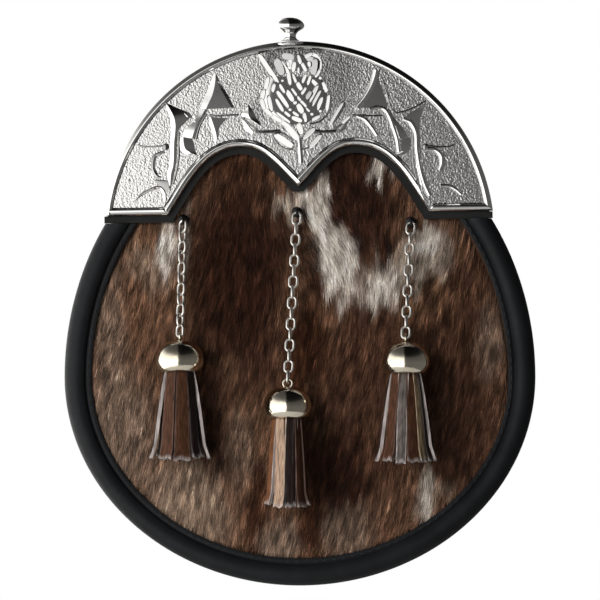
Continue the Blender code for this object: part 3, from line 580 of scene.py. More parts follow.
@dataclass(frozen=True)
class StippledMetal:
    """The cantle's sunk field: cast with a fine pebbled grain, and painted darker as shade where its points
    say.
    """

    name: str
    slot: Slot
    colour: Colour
    shade: Colour
    roughness: Span
    pebble_size: float
    pebble_depth: float

    def material(self) -> bpy.types.Material:
        """Build the material."""
        desk = FinishDesk(self.name, Metallic=1.0)
        place = desk.coordinates()
        pebble = desk.pebbles(place, 1.0 / self.pebble_size)
        wander = desk.noise(place, 0.9 / self.pebble_size, 1.0)
        desk.paint_patina_and_shade(self.colour, self.shade)
        desk.roughen(wander, self.roughness)
        desk.bump(wander, self.pebble_depth)
        desk.bump(pebble, self.pebble_depth * 0.6)
        return desk.material


@dataclass(frozen=True)
class LeatherFinish:
    """Black leather with a fine pebble grain and soft creases."""

    name: str
    slot: Slot
    colour: Colour
    worn: Colour
    roughness: Span
    grain_size: float
    grain_depth: float
    specular: float

    def material(self) -> bpy.types.Material:
        """Build the material."""
        desk = FinishDesk(self.name, Specular_IOR_Level=self.specular)
        place = desk.coordinates()
        cloud = desk.noise(place, 60.0, 5.0)
        creases = desk.noise(place, 380.0, 4.0)
        desk.paint(desk.mix(desk.spread(cloud, 0.0, 1.0), self.colour, self.worn))
        desk.roughen(creases, self.roughness)
        desk.bump(creases, self.grain_depth * 1.4)
        desk.bump(desk.pebbles(place, 1.0 / self.grain_size), self.grain_depth)
        return desk.material


@dataclass(frozen=True)
class HairFinish:
    """Short hair, or the hide under it, in the tones that its points carry."""

    name: str
    slot: Slot
    roughness: float
    specular: float
    streak_depth: float
    streak_scale: float = 2600.0
    streaks: Span = (0.72, 1.12)

    def material(self) -> bpy.types.Material:
        """Build the material."""
        desk = FinishDesk(self.name, Roughness=self.roughness, Specular_IOR_Level=self.specular)
        place = desk.coordinates((1.0, 1.0, 0.06))
        streak = desk.noise(place, self.streak_scale, 2.0)
        low, high = self.streaks
        shade = desk.mix(desk.spread(streak, 0.0, 1.0), (low, low, low), (high, high, high))
        desk.paint(desk.product(desk.attribute("tone", "Color"), shade))
        desk.bump(streak, self.streak_depth)
        return desk.material


@dataclass(frozen=True)
class ThreadFinish:
    """Waxed thread."""

    name: str
    slot: Slot
    colour: Colour
    worn: Colour

    def material(self) -> bpy.types.Material:
        """Build the material."""
        desk = FinishDesk(self.name, Roughness=0.6, Specular_IOR_Level=0.25)
        twist = desk.noise(desk.coordinates(), 3200.0, 1.0)
        desk.paint(desk.mix(desk.spread(twist, 0.0, 1.0), self.colour, self.worn))
        desk.bump(twist, 0.08 * MM)
        return desk.material


# The polished and stippled cantle finishes turn to their dark colour where the points carry patina and
# painted shade.
POLISHED = MetalFinish("cast_silver_polished", Slot.CAST_METAL, (0.84, 0.84, 0.83), (0.10, 0.10, 0.10),
                       (0.09, 0.14), 0.9 * MM, 0.012 * MM, takes_patina_and_shade=True)
STIPPLED = StippledMetal("cast_silver_stippled", Slot.CAST_METAL, (0.72, 0.72, 0.71), (0.22, 0.22, 0.22),
                         (0.25, 0.35), 0.80 * MM, 0.17 * MM)
NICKEL = MetalFinish("nickel_plate", Slot.NICKEL, (0.90, 0.84, 0.71), (0.74, 0.64, 0.48), (0.07, 0.18),
                     2.6 * MM, 0.05 * MM)
CHAIN_NICKEL = MetalFinish("chain_nickel", Slot.NICKEL, (0.88, 0.86, 0.82), (0.66, 0.63, 0.58), (0.22, 0.38),
                           0.8 * MM, 0.02 * MM)
BLACK_METAL = MetalFinish("black_metal", Slot.BLACK_METAL, (0.035, 0.035, 0.037), (0.015, 0.015, 0.015),
                          (0.30, 0.48), 0.6 * MM, 0.02 * MM)
ROLL_LEATHER = LeatherFinish("binding_leather", Slot.BLACK_LEATHER, (0.0050, 0.0055, 0.0064),
                             (0.009, 0.010, 0.0115), (0.48, 0.60), 1.0 * MM, 0.03 * MM, 0.17)
FLAT_LEATHER = LeatherFinish("panel_leather", Slot.BLACK_LEATHER, (0.010, 0.010, 0.011),
                             (0.020, 0.020, 0.021), (0.46, 0.62), 1.2 * MM, 0.06 * MM, 0.36)
EDGE_LEATHER = LeatherFinish("backing_leather", Slot.BLACK_LEATHER, (0.005, 0.005, 0.005),
                             (0.010, 0.010, 0.010), (0.52, 0.66), 0.8 * MM, 0.04 * MM, 0.22)
THREAD = ThreadFinish("black_thread", Slot.BLACK_LEATHER, (0.008, 0.008, 0.008), (0.022, 0.022, 0.023))
COAT = HairFinish("hair", Slot.HIDE, 0.50, 0.12, 0.02 * MM)
SKIN = HairFinish("hide_under_hair", Slot.HIDE, 0.7, 0.15, 0.12 * MM)
STRIP = HairFinish("strip_hide", Slot.HIDE, 0.6, 0.15, 0.10 * MM, 1500.0, (0.35, 1.5))

MATERIALS: dict[str, bpy.types.Material] = {}
Finish = MetalFinish | StippledMetal | LeatherFinish | HairFinish | ThreadFinish


def dressed(piece: Piece, name: str, finish: Finish, angle: float, *nodes: str) -> None:
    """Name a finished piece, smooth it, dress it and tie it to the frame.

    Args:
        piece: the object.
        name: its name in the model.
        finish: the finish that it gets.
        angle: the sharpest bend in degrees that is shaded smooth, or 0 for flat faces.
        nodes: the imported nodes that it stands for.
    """
    if angle > 0.0:
        select_only(piece)
        bpy.ops.object.shade_smooth_by_angle(angle=math.radians(angle))
    piece.name = name
    if finish.name not in MATERIALS:
        MATERIALS[finish.name] = finish.material()
    piece.data.materials.clear()
    piece.data.materials.append(MATERIALS[finish.name])
    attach(piece, BODY)
    if nodes:
        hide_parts(*nodes)
    LOG.info("%s: %d faces", name, len(piece.data.polygons))


# ---------------------------------------------------------------- leather work

def outline_plate(name: str, outline: Array, thickness: float) -> Piece:
    """A flat outline of (x, z) as a plate: a filled circle laid along it and extruded to the front."""
    deselect_all()
    bpy.ops.mesh.primitive_circle_add(vertices=len(outline), radius=1.0, fill_type="NGON")
    piece = bpy.context.object
    piece.name = name
    set_coordinates(piece.data, rows(outline[:, 0], 0.0, outline[:, 1]))
    edit(piece)
    bpy.ops.mesh.extrude_region_move(TRANSFORM_OT_translate={"value": (0.0, -thickness, 0.0)})
    return turned_outwards(piece)


def bevelled(piece: Piece, width: float, segments: int) -> Piece:
    """Round the sharp edges of a piece."""
    return applied(piece, "BEVEL", width=width, segments=segments, limit_method="ANGLE",
                   angle_limit=math.radians(60.0))


def placed_on(origin: Vector, axes: Sequence[Sequence[float]]) -> Matrix:
    """The matrix that lays X, Y and Z along three axes from an origin."""
    return Matrix.Translation(origin) @ Matrix(axes).transposed().to_4x4()


def square_to(way: Vector, forward: Vector) -> Vector:
    """The part of a direction that is square to another, as a unit direction."""
    return (way - forward * way.dot(forward)).normalized()


@dataclass(frozen=True)
class Seam:
    """A row of stitches in one thread."""

    pitch: float = 3.9 * MM
    length: float = 2.9 * MM
    thread: float = 0.55 * MM
    bend: float = 1.6
    look_ahead: float = 0.2

    def along(self, path: Array, facing: float) -> Piece:
        """Sew a path.

        Args:
            path: points in space, close together.
            facing: -1 where the stitches lie on a face towards -Y, or 1.

        Returns:
            One mesh of all the stitches.
        """
        stitch = unit_ball(8, 6)
        points = coordinates(stitch.data)[:, [2, 0, 1]]
        points *= np.array([self.length / 2.0, self.thread / 2.0, self.thread / 2.0])
        points[:, 2] -= (points[:, 0] / self.length) ** 2 * self.thread * self.bend
        set_coordinates(stitch.data, points)
        steps = np.linalg.norm(np.diff(path, axis=0), axis=1)
        run = np.concatenate([[0.0], np.cumsum(steps)])
        count = int(run[-1] / self.pitch)
        near = self.pitch * self.look_ahead
        matrices = []
        for index in range(count):
            middle = (index + 0.5) * run[-1] / count
            here, ahead, behind = (Vector([np.interp(middle + shift, run, axis) for axis in path.T])
                                   for shift in (0.0, near, -near))
            forward = (ahead - behind).normalized()
            out = square_to(Vector((0.0, facing, 0.0)), forward)
            matrices.append(placed_on(here, (forward, out.cross(forward), out)))
        return many("seam", stitch, matrices)


@dataclass
class Binding:
    """The padded leather roll round the front, and the stitched lip inside it.

    The section gives each corner's inset and its height over the front plane, in millimetres.
    """

    stations: int = 300
    section: Profile = ((11.6, -3.9), (11.6, -4.8), (10.9, -5.15), (9.9, -5.05), (9.15, -4.75), (8.85, -5.3),
                        (8.2, -6.35), (7.0, -7.2), (5.6, -7.65), (4.2, -7.7), (2.7, -7.2), (1.4, -6.1),
                        (0.4, -4.4), (0.0, -2.5), (0.2, -0.8), (0.8, 0.7), (1.9, 1.8), (3.4, 2.2),
                        (6.2, 2.2), (6.2, -3.9))
    roll_rows: tuple[int, int] = (6, 16)
    pucker: float = 0.14 * MM
    puckers_per_metre: float = 160.0
    seam_inset: float = 10.25 * MM
    seam_height: float = -5.2 * MM

    def place(self, u: Array, v: Array) -> Array:
        """Lay the section along the outline; u runs along it and v round the section."""
        corner = cell(v, len(self.section)) % len(self.section)
        section = np.array(in_metres(self.section))
        lines = np.array([FORM.side_outline(inset, self.stations) for inset in section[:, 0]])
        height = section[corner, 1]
        points = FORM.on_front(lines[corner, cell(u, self.stations)], height)
        on_roll = (corner >= self.roll_rows[0]) & (corner <= self.roll_rows[1])
        points[:, 1] += np.where(on_roll, fine_noise(points, self.puckers_per_metre) * self.pucker, 0.0)
        return points

    def build(self) -> None:
        """Make the roll with its lip, and the seam."""
        roll = close_seams(laid_sheet("roll", self.stations, len(self.section), self.place))
        dressed(roll, "front_binding_roll", ROLL_LEATHER, 50.0, "front_binding")
        path = FORM.on_front(FORM.side_outline(self.seam_inset, 600), self.seam_height)
        dressed(Seam().along(path, -1.0), "front_seam_stitches", THREAD, 35.0)


@dataclass
class Gusset:
    """The side wall that gives the pouch its depth."""

    inset: float = 2.6 * MM
    wall: float = 2.0 * MM
    bulge: float = 1.2 * MM
    back: float = -2.8 * MM
    front: float = 2.6 * MM
    front_behind_cantle: float = -3.6 * MM
    cantle_overlap: float = 3.0 * MM
    top_radius: float = 79.5 * MM
    centre_z: float = -37.0 * MM
    rise: tuple[float, ...] = (-28.2 * MM, -26.0 * MM, -11.0 * MM, 5.0 * MM)
    stations: int = 280
    steps: int = 8

    def path(self) -> Array:
        """The outer line from behind the cantle, round the bottom and up the other side."""
        right = np.array([(math.sqrt(self.top_radius ** 2 - (z - self.centre_z) ** 2), z)
                          for z in self.rise[::-1]])
        sides = FORM.side_outline(self.inset, 30)
        return spline(np.concatenate([right, sides, mirrored(right)]), self.stations)

    def place(self, u: Array, v: Array) -> Array:
        """Lay the wall's section along its path."""
        path = self.path()
        station = cell(u, self.stations)
        corner = cell(v, 2 * self.steps) % (2 * self.steps)
        inner = corner >= self.steps
        depth = np.where(inner, 2 * self.steps - 1 - corner, corner) / (self.steps - 1)
        offset = np.where(inner, self.wall, 0.0) - self.bulge * np.sin(np.pi * depth)
        flat = path[station] + turned_right(directions(path))[station] * offset[:, None]
        behind = path[station][:, 1] > FORM.shoulder_z + self.cantle_overlap
        front = FORM.front_y(flat[:, 0], flat[:, 1])
        front = front + np.where(behind, self.front_behind_cantle, self.front)
        return rows(flat[:, 0], front + (self.back - front) * depth, flat[:, 1])

    def build(self) -> None:
        """Make the wall."""
        wall = close_seams(laid_sheet("wall", self.stations, 2 * self.steps, self.place))
        dressed(wall, "gusset_wall", FLAT_LEATHER, 45.0, "gusset")


@dataclass
class BackPanel:
    """The flat leather back, arched at the top, with its seam and the two belt loops."""

    thickness: float = 2.5 * MM
    inset: float = 1.5 * MM
    arch_half: float = 82.0 * MM
    arch_top_z: float = 33.0 * MM
    edge_round: float = 0.6 * MM
    seam_inset: float = 6.5 * MM
    loop_x: float = 38.0 * MM
    loop_width: float = 14.0 * MM
    loop_wall: float = 2.0 * MM
    slot_half: float = 13.5 * MM
    slot_depth: float = 5.4 * MM
    slope: float = 2.5 * MM
    land: float = 7.0 * MM
    gap: float = 0.3 * MM
    strap_steps: int = 60
    strap_round: float = 0.35 * MM
    seam_margin: tuple[float, float] = (1.6 * MM, 1.2 * MM)
    seam_gap: float = 0.05 * MM
    back_seam_y: float = 0.1 * MM

    def strap_line(self) -> Array:
        """The strap's inner line as (z, y), from its lower end to its upper end."""
        half, rise = self.slot_half, self.gap + self.slot_depth
        foot = half + self.slope
        upper = ((half - 1.6 * MM, rise), (half + 0.6 * MM, rise - 1.0 * MM), (foot, self.gap + 0.15 * MM),
                 (foot + 3.0 * MM, self.gap), (foot + self.land, self.gap))
        line = spline([*((-z, y) for z, y in upper[::-1]), (0.0, rise), *upper], self.strap_steps)
        line[:, 1] = np.maximum(line[:, 1], self.gap)
        return line

    def box_seam(self, centre_x: float, end: float) -> Piece:
        """The stitched rectangle on one end of a strap, -1 for the lower and 1 for the upper."""
        foot = self.slot_half + self.slope
        half_width = self.loop_width / 2.0 - self.seam_margin[0]
        low, high = foot + self.seam_margin[1], foot + self.land - self.seam_margin[1]
        corners = np.array([(-half_width, low), (half_width, low), (half_width, high), (-half_width, high),
                            (-half_width, low)])
        step = np.linspace(0.0, 4.0, 81)
        x, z = (np.interp(step, range(5), corners[:, axis]) for axis in (0, 1))
        path = rows(centre_x + x, self.gap + self.loop_wall + self.seam_gap, end * z)
        return Seam(2.4 * MM, 1.8 * MM, 0.5 * MM).along(path, 1.0)

    def loop(self, side: Side, centre_x: float) -> None:
        """A strap sewn flat above and below, standing off the back between."""
        line = self.strap_line()

        def place(u: Array, v: Array) -> Array:
            """Lay the strap: u across it, v along it."""
            here = line[cell(v, self.strap_steps)]
            return rows(centre_x + (u - 0.5) * self.loop_width, here[:, 1], here[:, 0])

        strap = turned_outwards(laid_sheet("strap", 6, self.strap_steps, place))
        if strap.data.polygons[0].normal.y < 0.0:
            strap.data.flip_normals()
        applied(strap, "SOLIDIFY", thickness=self.loop_wall, offset=1.0)
        bevelled(strap, self.strap_round, 2)
        name = "belt_loop_" + side.value
        dressed(strap, name + "_strap", FLAT_LEATHER, 40.0, name)
        seams = [self.box_seam(centre_x, end) for end in (-1.0, 1.0)]
        dressed(joined("seams", seams), name + "_stitches", THREAD, 35.0)

    def build(self) -> None:
        """Make the panel, its seam and its loops."""
        arch = arc(self.arch_half, FORM.shoulder_z, self.arch_top_z - FORM.shoulder_z, arch_angles(80))
        outline = np.concatenate([FORM.side_outline(self.inset, 220), arch])
        panel = bevelled(outline_plate("panel", outline, self.thickness), self.edge_round, 3)
        dressed(panel, "back_panel_leather", FLAT_LEATHER, 35.0, "back_panel")
        line = FORM.side_outline(self.seam_inset, 500)
        path = rows(line[:, 0], self.back_seam_y, line[:, 1])
        dressed(Seam(thread=0.6 * MM).along(path, 1.0), "back_seam_stitches", THREAD, 35.0)
        self.loop(Side.LEFT, -self.loop_x)
        self.loop(Side.RIGHT, self.loop_x)


# ---------------------------------------------------------------- the cantle

def crossed(first: Array, second: Array) -> Array:
    """The cross product of flat directions."""
    return first[..., 0] * second[..., 1] - first[..., 1] * second[..., 0]


@dataclass(frozen=True)
class Edge:
    """One smooth stretch of the cantle's outline, with its inward directions."""

    points: Array
    inward: Array
    on_arc: bool

    def moved_in(self, inset: float | Array, room: Array) -> Array:
        """The stretch moved in, as far as the mitres at its ends leave room."""
        return self.points + self.inward * np.minimum(inset, room)[:, None]


@dataclass(frozen=True)
class CantleForm:
    """The half-moon outline of the cantle and the face that it is cast on.

    The cantle is fixed slightly askew: a little to the left, and turned about its arc's centre.
    """

    shift_x: float = -0.5 * MM
    askew: float = math.radians(0.8)
    radius: float = 83.5 * MM
    centre_z: float = -37.0 * MM
    foot_z: float = -26.9 * MM
    corner_x: float = 55.6 * MM
    peak: tuple[float, float] = (24.5 * MM, 1.6 * MM)
    corner_pull: tuple[float, float] = (49.5 * MM, -19.0 * MM)
    outer_pull: tuple[float, float] = (41.5 * MM, 1.6 * MM)
    inner_pull: tuple[float, float] = (15.0 * MM, 1.6 * MM)
    cusp_pull: tuple[float, float] = (11.0 * MM, -4.0 * MM)
    cusp_z: float = -15.5 * MM
    field_height: float = -7.6 * MM
    dome_middle_z: float = -2.0 * MM
    dome_radius: float = 900.0 * MM
    dome_rise: float = 0.6 * MM
    mitre_reach: float = 14.0 * MM

    def placed(self, flat: Array) -> Array:
        """Places of (x, z) on the straight cantle, moved to where it is fixed."""
        across, up = flat[..., 0], flat[..., 1] - self.centre_z
        cosine, sine = math.cos(self.askew), math.sin(self.askew)
        return rows(self.shift_x + across * cosine - up * sine, self.centre_z + across * sine + up * cosine)

    def face_y(self, x: Array, z: Array, height: Array) -> Array:
        """The Y of a place at a height over the front plane, on the gently domed plate."""
        dome = (z - self.dome_middle_z) ** 2 / (2.0 * self.dome_radius) - self.dome_rise
        return FORM.front_y(x, z) + dome + height

    def on_field(self, flat: Array, rise: Array) -> Array:
        """Places of (x, z) lifted over the field, as points in space."""
        x, z = flat[..., 0], flat[..., 1]
        return rows(x, self.face_y(x, z, self.field_height - rise), z)

    def top_arc(self, radius: float, steps: int) -> Array:
        """The round top edge from left to right, down to the foot's height."""
        end = math.asin((self.foot_z - self.centre_z) / radius)
        return arc(radius, self.centre_z, radius, np.linspace(math.pi - end, end, steps + 1))

    def lobe(self, steps: int) -> Array:
        """The right half of the lower edge, from the inner corner over the peak to the cusp."""
        t = np.linspace(0.0, 1.0, steps + 1)[:, None]
        stretches = (((self.corner_x, self.foot_z), self.corner_pull, self.outer_pull, self.peak),
                     (self.peak, self.inner_pull, self.cusp_pull, (0.0, self.cusp_z)))
        halves = []
        for a, b, c, d in (np.array(stretch) for stretch in stretches):
            halves.append(a * (1 - t) ** 3 + 3 * b * t * (1 - t) ** 2 + 3 * c * t * t * (1 - t) + d * t ** 3)
        return np.concatenate([halves[0], halves[1][1:]])

    def edges(self) -> list[Edge]:
        """The outline clockwise from the left end of the arc, in five stretches."""
        top = self.top_arc(self.radius, 420)
        foot = np.linspace(top[-1], (self.corner_x, self.foot_z), 45)
        lobe = self.lobe(60)
        lines = map(self.placed, (top, foot, lobe, mirrored(lobe), mirrored(foot)))
        return [Edge(line, turned_right(directions(line, 2)), index == 0) for index, line in enumerate(lines)]

    def rooms(self, edges: Sequence[Edge]) -> list[Array]:
        """How far each station of each stretch can move in before it meets a mitre."""
        found = []
        for index, edge in enumerate(edges):
            room = np.full(len(edge.points), 1.0)
            before, after = edges[index - 1], edges[(index + 1) % len(edges)]
            for corner, other in ((edge.points[0], before.inward[-1]), (edge.points[-1], after.inward[0])):
                own = edge.inward[0] if corner is edge.points[0] else edge.inward[-1]
                mitre = own + other
                reach = crossed(corner - edge.points, mitre) / crossed(edge.inward, mitre)
                near = np.linalg.norm(corner - edge.points, axis=1) < self.mitre_reach
                room = np.where(near & (reach >= -1e-7), np.minimum(room, np.maximum(reach, 0.0)), room)
            found.append(room)
        return found

    def lower_line(self, inset: float) -> Array:
        """The lower edge moved in, from left to right as (x, z)."""
        edges = self.edges()
        rooms = self.rooms(edges)
        runs = [edges[index].moved_in(inset, rooms[index]) for index in (1, 2, 3, 4)]
        line = np.concatenate(runs)[::-1]
        return line[np.argsort(line[:, 0], kind="stable")]


CANTLE = CantleForm()


@dataclass
class CantleRim:
    """The polished raised rim, its groove and its returned edge, as one closed band.

    The face gives the rim's height over the front plane at each inset, in millimetres.
    """

    back: float = -6.3 * MM
    foot_back: float = -6.2 * MM
    return_end: float = -2.4 * MM
    wall: float = 1.5 * MM
    face: Profile = ((0.0, -6.9), (0.15, -7.4), (0.5, -7.85), (1.0, -8.35), (1.5, -8.75), (1.85, -8.9),
                     (2.2, -8.85), (2.6, -8.5), (3.0, -8.0), (3.3, -7.65), (3.6, -7.55), (3.9, -7.35))
    groove: Span = (3.15 * MM, 3.65 * MM)

    def build(self) -> None:
        """Make the band line by line along all five stretches."""
        edges = CANTLE.edges()
        rooms = CANTLE.rooms(edges)
        known = np.array(in_metres(self.face))
        insets = np.array([self.wall, 0.0, *known[:, 0], known[-1, 0], self.wall])
        lines = []
        for number, inset in enumerate(insets):
            run = []
            for edge, room in zip(edges, rooms):
                flat = edge.moved_in(inset, room)
                height = self.back
                if number < 2:
                    height = self.return_end if edge.on_arc else self.foot_back
                elif number < 2 + len(known):
                    height = np.interp(np.minimum(inset, room), known[:, 0], known[:, 1])
                run.append(rows(flat[:, 0], CANTLE.face_y(flat[:, 0], flat[:, 1], height), flat[:, 1]))
            lines.append(np.concatenate(run))
        rim = looked_up("rim", np.array(lines), round_v=True)
        # The rim's groove is painted dark: patina and the shade that falls in it.
        line_of = np.arange(len(rim.data.vertices)) // (lines[0].shape[0] + 1) % len(insets)
        in_groove = (insets > self.groove[0]) & (insets < self.groove[1])
        add_tones(rim, "patina_and_shade", in_groove[line_of].astype(float))
        dressed(close_seams(rim), "cantle_rim", POLISHED, 50.0, "cantle")


# The field's places painted darker as shade, under the rim and round the thistle and leaves: their middle and
# half sizes in millimetres, and their strength.
FIELD_PAINTED_SHADES: tuple[tuple[float, float, float, float, float], ...] = (
    (15.0, 31.0, 7.0, 13.0, 0.60), (-11.6, 38.2, 3.6, 4.6, 0.90), (-18.5, 16.5, 3.0, 4.5, 0.45),
    (-2.0, 42.6, 16.0, 1.6, 0.85))


@dataclass
class CantleField:
    """The sunk field inside the rim, softly uneven under its stipple."""

    inset: float = 3.4 * MM
    half_width: float = 79.6 * MM
    columns: int = 330
    lines: int = 105
    unevenness: float = 0.05 * MM
    swells_per_metre: float = 620.0
    least_height: float = 0.02 * MM
    wall: float = 1.0 * MM
    shade_edge: float = 1.7

    def place(self, u: Array, v: Array) -> Array:
        """Lay the sheet between the lower edge and the arc."""
        across = (2.0 * u - 1.0) * self.half_width
        x = CANTLE.shift_x + across
        low_line = CANTLE.lower_line(self.inset)
        low = np.interp(x, low_line[:, 0], low_line[:, 1])
        reach = CANTLE.radius - self.inset
        high = CANTLE.centre_z + np.sqrt(np.maximum(reach ** 2 - across ** 2, 0.0))
        z = low + (np.maximum(high, low + self.least_height) - low) * v
        grain = fine_noise(rows(x, 0.0, z), self.swells_per_metre)
        return CANTLE.on_field(rows(x, z), grain * self.unevenness)

    def build(self) -> None:
        """Make the field."""
        sheet = turned_outwards(laid_sheet("field", self.columns, self.lines, self.place))
        if sheet.data.polygons[self.columns * self.lines // 2].normal.y > 0.0:
            sheet.data.flip_normals()
        applied(sheet, "SOLIDIFY", thickness=self.wall, offset=-1.0)
        # Paint shade onto the field at the places that the table of painted shades gives.
        where = coordinates(sheet.data) / MM
        shade = np.zeros(len(where))
        for x, z, half_x, half_z, strength in FIELD_PAINTED_SHADES:
            reach = np.hypot((where[:, 0] - x) / half_x, (where[:, 2] - z) / half_z)
            shade = np.maximum(shade, strength * np.clip(self.shade_edge - reach, 0.0, 1.0))
        add_tones(sheet, "patina_and_shade", shade)
        dressed(sheet, "cantle_field", STIPPLED, 50.0, "cantle")


LEAF_AXIS_X = -1.8 * MM
LEAF_LEAN = 0.055


@dataclass(frozen=True)
class Leaf:
    """A ridged leaf: stations from its tip to its base, each from edge over ridges to edge.

    Places are millimetres across from the thistle's axis and millimetres up; the heights of the
    ridges over the field are given station by station.
    """

    stations: tuple[Profile, ...]
    heights: tuple[float, ...]
    sink: float = 0.25
    steps: int = 6

    def build(self, side: int, press: float = 1.0) -> Piece:
        """Make the leaf.

        Args:
            side: 1 for the right of the thistle, or -1 for the left.
            press: the share of their height that its ridges keep.

        Returns:
            The leaf as a closed piece.
        """
        widest = max(map(len, self.stations))
        grid = np.array([station * (widest // len(station)) for station in self.stations])
        count = self.steps * (len(grid) - 1)
        lines = np.stack([spline(grid[:, column], count) for column in range(widest)], axis=1)
        rise = spline(np.array(self.heights)[:, None], count)
        x = LEAF_AXIS_X + side * lines[..., 0] * MM
        lift = np.repeat(rise, widest, axis=1) * press * MM
        lift -= LEAF_LEAN * (x - x.mean(axis=1, keepdims=True))
        lift[:, 0] = lift[:, -1] = -self.sink * MM
        return close_seams(looked_up("leaf", CANTLE.on_field(rows(x, lines[..., 1] * MM), lift)))


def band(upper: Profile, width: float, ridge: float, height: float) -> Leaf:
    """A narrow tendril: a band of even width that follows its upper edge and thins at its ends.

    Args:
        upper: places along the upper edge, in the leaf's millimetres.
        width: of the band.
        ridge: where the ridge runs, from 0 at the upper edge to 1.
        height: of the ridge.

    Returns:
        The tendril as a leaf.
    """
    line = spline(upper, 4 * (len(upper) - 1))
    part = np.linspace(0.0, 1.0, len(line))
    swell = np.minimum(1.0, 0.25 + 5.0 * np.minimum(part, 1.0 - part))
    stations = [tuple(tuple(point + way * width * full * share) for share in (0.0, ridge, 1.0))
                for point, way, full in zip(line, turned_right(directions(line)), swell)]
    return Leaf(tuple(stations), tuple(height * swell), steps=1)


GREAT_LEAF = Leaf((
    ((34.4, 34.2),), ((32.9, 31.0), (34.0, 31.2), (34.2, 31.2), (35.9, 31.2)),
    ((30.9, 27.4), (32.8, 27.6), (34.6, 27.3), (37.3, 27.4)),
    ((28.6, 23.7), (30.6, 23.6), (35.6, 23.3), (38.9, 23.6)),
    ((26.7, 20.2), (28.6, 20.0), (37.2, 19.8), (40.3, 20.2)),
    ((25.5, 17.9), (27.4, 18.1), (38.3, 17.4), (41.2, 17.4))),
    (0.2, 1.0, 1.3, 1.4, 1.3, 1.1))
NECK = Leaf((
    ((37.4, 17.5), (38.6, 17.3), (41.3, 17.3)), ((38.6, 14.6), (40.3, 14.2), (42.3, 14.4)),
    ((40.6, 10.6), (42.2, 10.8), (44.9, 11.4)), ((41.8, 7.2), (43.4, 7.6), (48.2, 8.4)),
    ((42.4, 4.4), (44.2, 5.0), (49.7, 5.6))),
    (1.1, 1.2, 1.3, 1.3, 0.9))
HOOK = Leaf((
    ((43.2, 4.8), (47.9, 5.6), (49.7, 5.4)), ((42.2, 2.4), (47.7, 2.6), (50.0, 2.6)),
    ((41.9, 0.2), (46.8, 0.3), (49.2, -0.5)), ((41.6, -1.4), (44.4, -1.3), (46.4, -2.4)), ((41.2, -2.6),)),
    (1.1, 1.2, 1.1, 0.8, 0.2))
ARCHED_LEAF = Leaf((
    ((27.3, 13.6), (36.2, 14.0), (37.6, 14.2)), ((31.2, 10.4), (35.3, 11.4), (37.0, 11.0)),
    ((32.7, 7.2), (34.1, 7.6), (35.8, 7.2)), ((33.1, 4.6), (33.7, 4.6), (35.2, 4.4)), ((34.3, 1.3),)),
    (1.0, 1.1, 1.0, 0.8, 0.2))
OUTER_LEAF = Leaf((
    ((55.8, 20.8),), ((51.0, 18.9), (53.6, 17.4), (55.4, 17.8)),
    ((43.0, 15.4), (51.9, 14.0), (54.1, 14.2)), ((45.4, 12.6), (51.3, 11.2), (53.7, 11.2)),
    ((49.4, 8.8), (51.3, 8.4), (53.6, 8.4)), ((50.2, 3.0), (51.8, 3.0), (53.8, 3.0)),
    ((50.3, -2.0), (51.9, -2.0), (53.9, -2.0)), ((50.8, -7.0), (52.2, -6.8), (54.4, -7.0)),
    ((51.8, -12.0), (53.2, -11.0), (55.2, -10.2)), ((53.6, -18.8),)),
    (0.2, 0.9, 1.2, 1.2, 1.2, 1.1, 1.1, 1.0, 0.9, 0.2))
EYE_SPOT = Leaf((
    ((47.4, 15.8),), ((45.4, 14.3), (45.7, 14.1), (46.8, 14.2)), ((43.9, 13.2),)),
    (0.9, 1.7, 0.9))
CURL = band(((56.0, -0.2), (58.6, -0.9), (60.7, -2.4), (61.6, -5.6), (61.3, -8.8), (59.7, -11.4),
             (57.6, -12.0)), 2.1, 0.3, 0.8)
FOOT_LEAF = band(((68.8, -21.8), (66.3, -18.4), (63.0, -16.5), (60.0, -15.2), (57.8, -15.1), (56.0, -16.4),
                  (54.9, -19.0), (54.9, -22.0), (56.2, -24.6)), -1.9, 0.35, 0.8)
INNER_LEAF = Leaf((
    ((20.4, 20.2),), ((17.6, 16.6), (20.2, 17.0), (22.2, 16.8)),
    ((15.6, 13.2), (19.8, 14.2), (23.9, 15.0)), ((14.4, 11.0), (17.2, 11.9), (20.4, 13.0)),
    ((13.0, 9.2), (14.0, 9.6), (15.0, 10.2))),
    (0.2, 0.9, 1.1, 0.9, 0.4))
SIDE_LEAF = Leaf((
    ((22.3, 14.4),), ((18.6, 12.2), (19.3, 12.9), (19.8, 14.0)),
    ((15.6, 10.0), (16.2, 10.8), (16.6, 12.2)), ((12.7, 9.2),)),
    (0.2, 0.9, 0.9, 0.2))
WEDGE = Leaf((
    ((23.4, 13.8),), ((20.8, 11.5), (21.1, 11.4), (22.6, 11.0)), ((19.2, 9.5), (19.6, 9.4), (21.7, 8.2)),
    ((17.8, 7.8), (18.0, 7.6), (18.6, 6.5))),
    (0.2, 1.0, 1.0, 0.6))
LEFT_LEAVES = (GREAT_LEAF, NECK, HOOK, ARCHED_LEAF, OUTER_LEAF, EYE_SPOT, CURL, FOOT_LEAF, INNER_LEAF,
               SIDE_LEAF, WEDGE)
RIGHT_LEAVES = (GREAT_LEAF, NECK, HOOK, OUTER_LEAF, WEDGE)
FOOT_SHADOW = Leaf((
    ((60.6, -12.6),), ((59.0, -14.4), (58.8, -13.4), (58.6, -12.5)),
    ((56.2, -16.6), (55.8, -14.6), (55.4, -12.6)), ((54.7, -19.2), (54.0, -15.5), (53.4, -12.8))),
    (0.1, 0.4, 0.4, 0.4), sink=0.02)
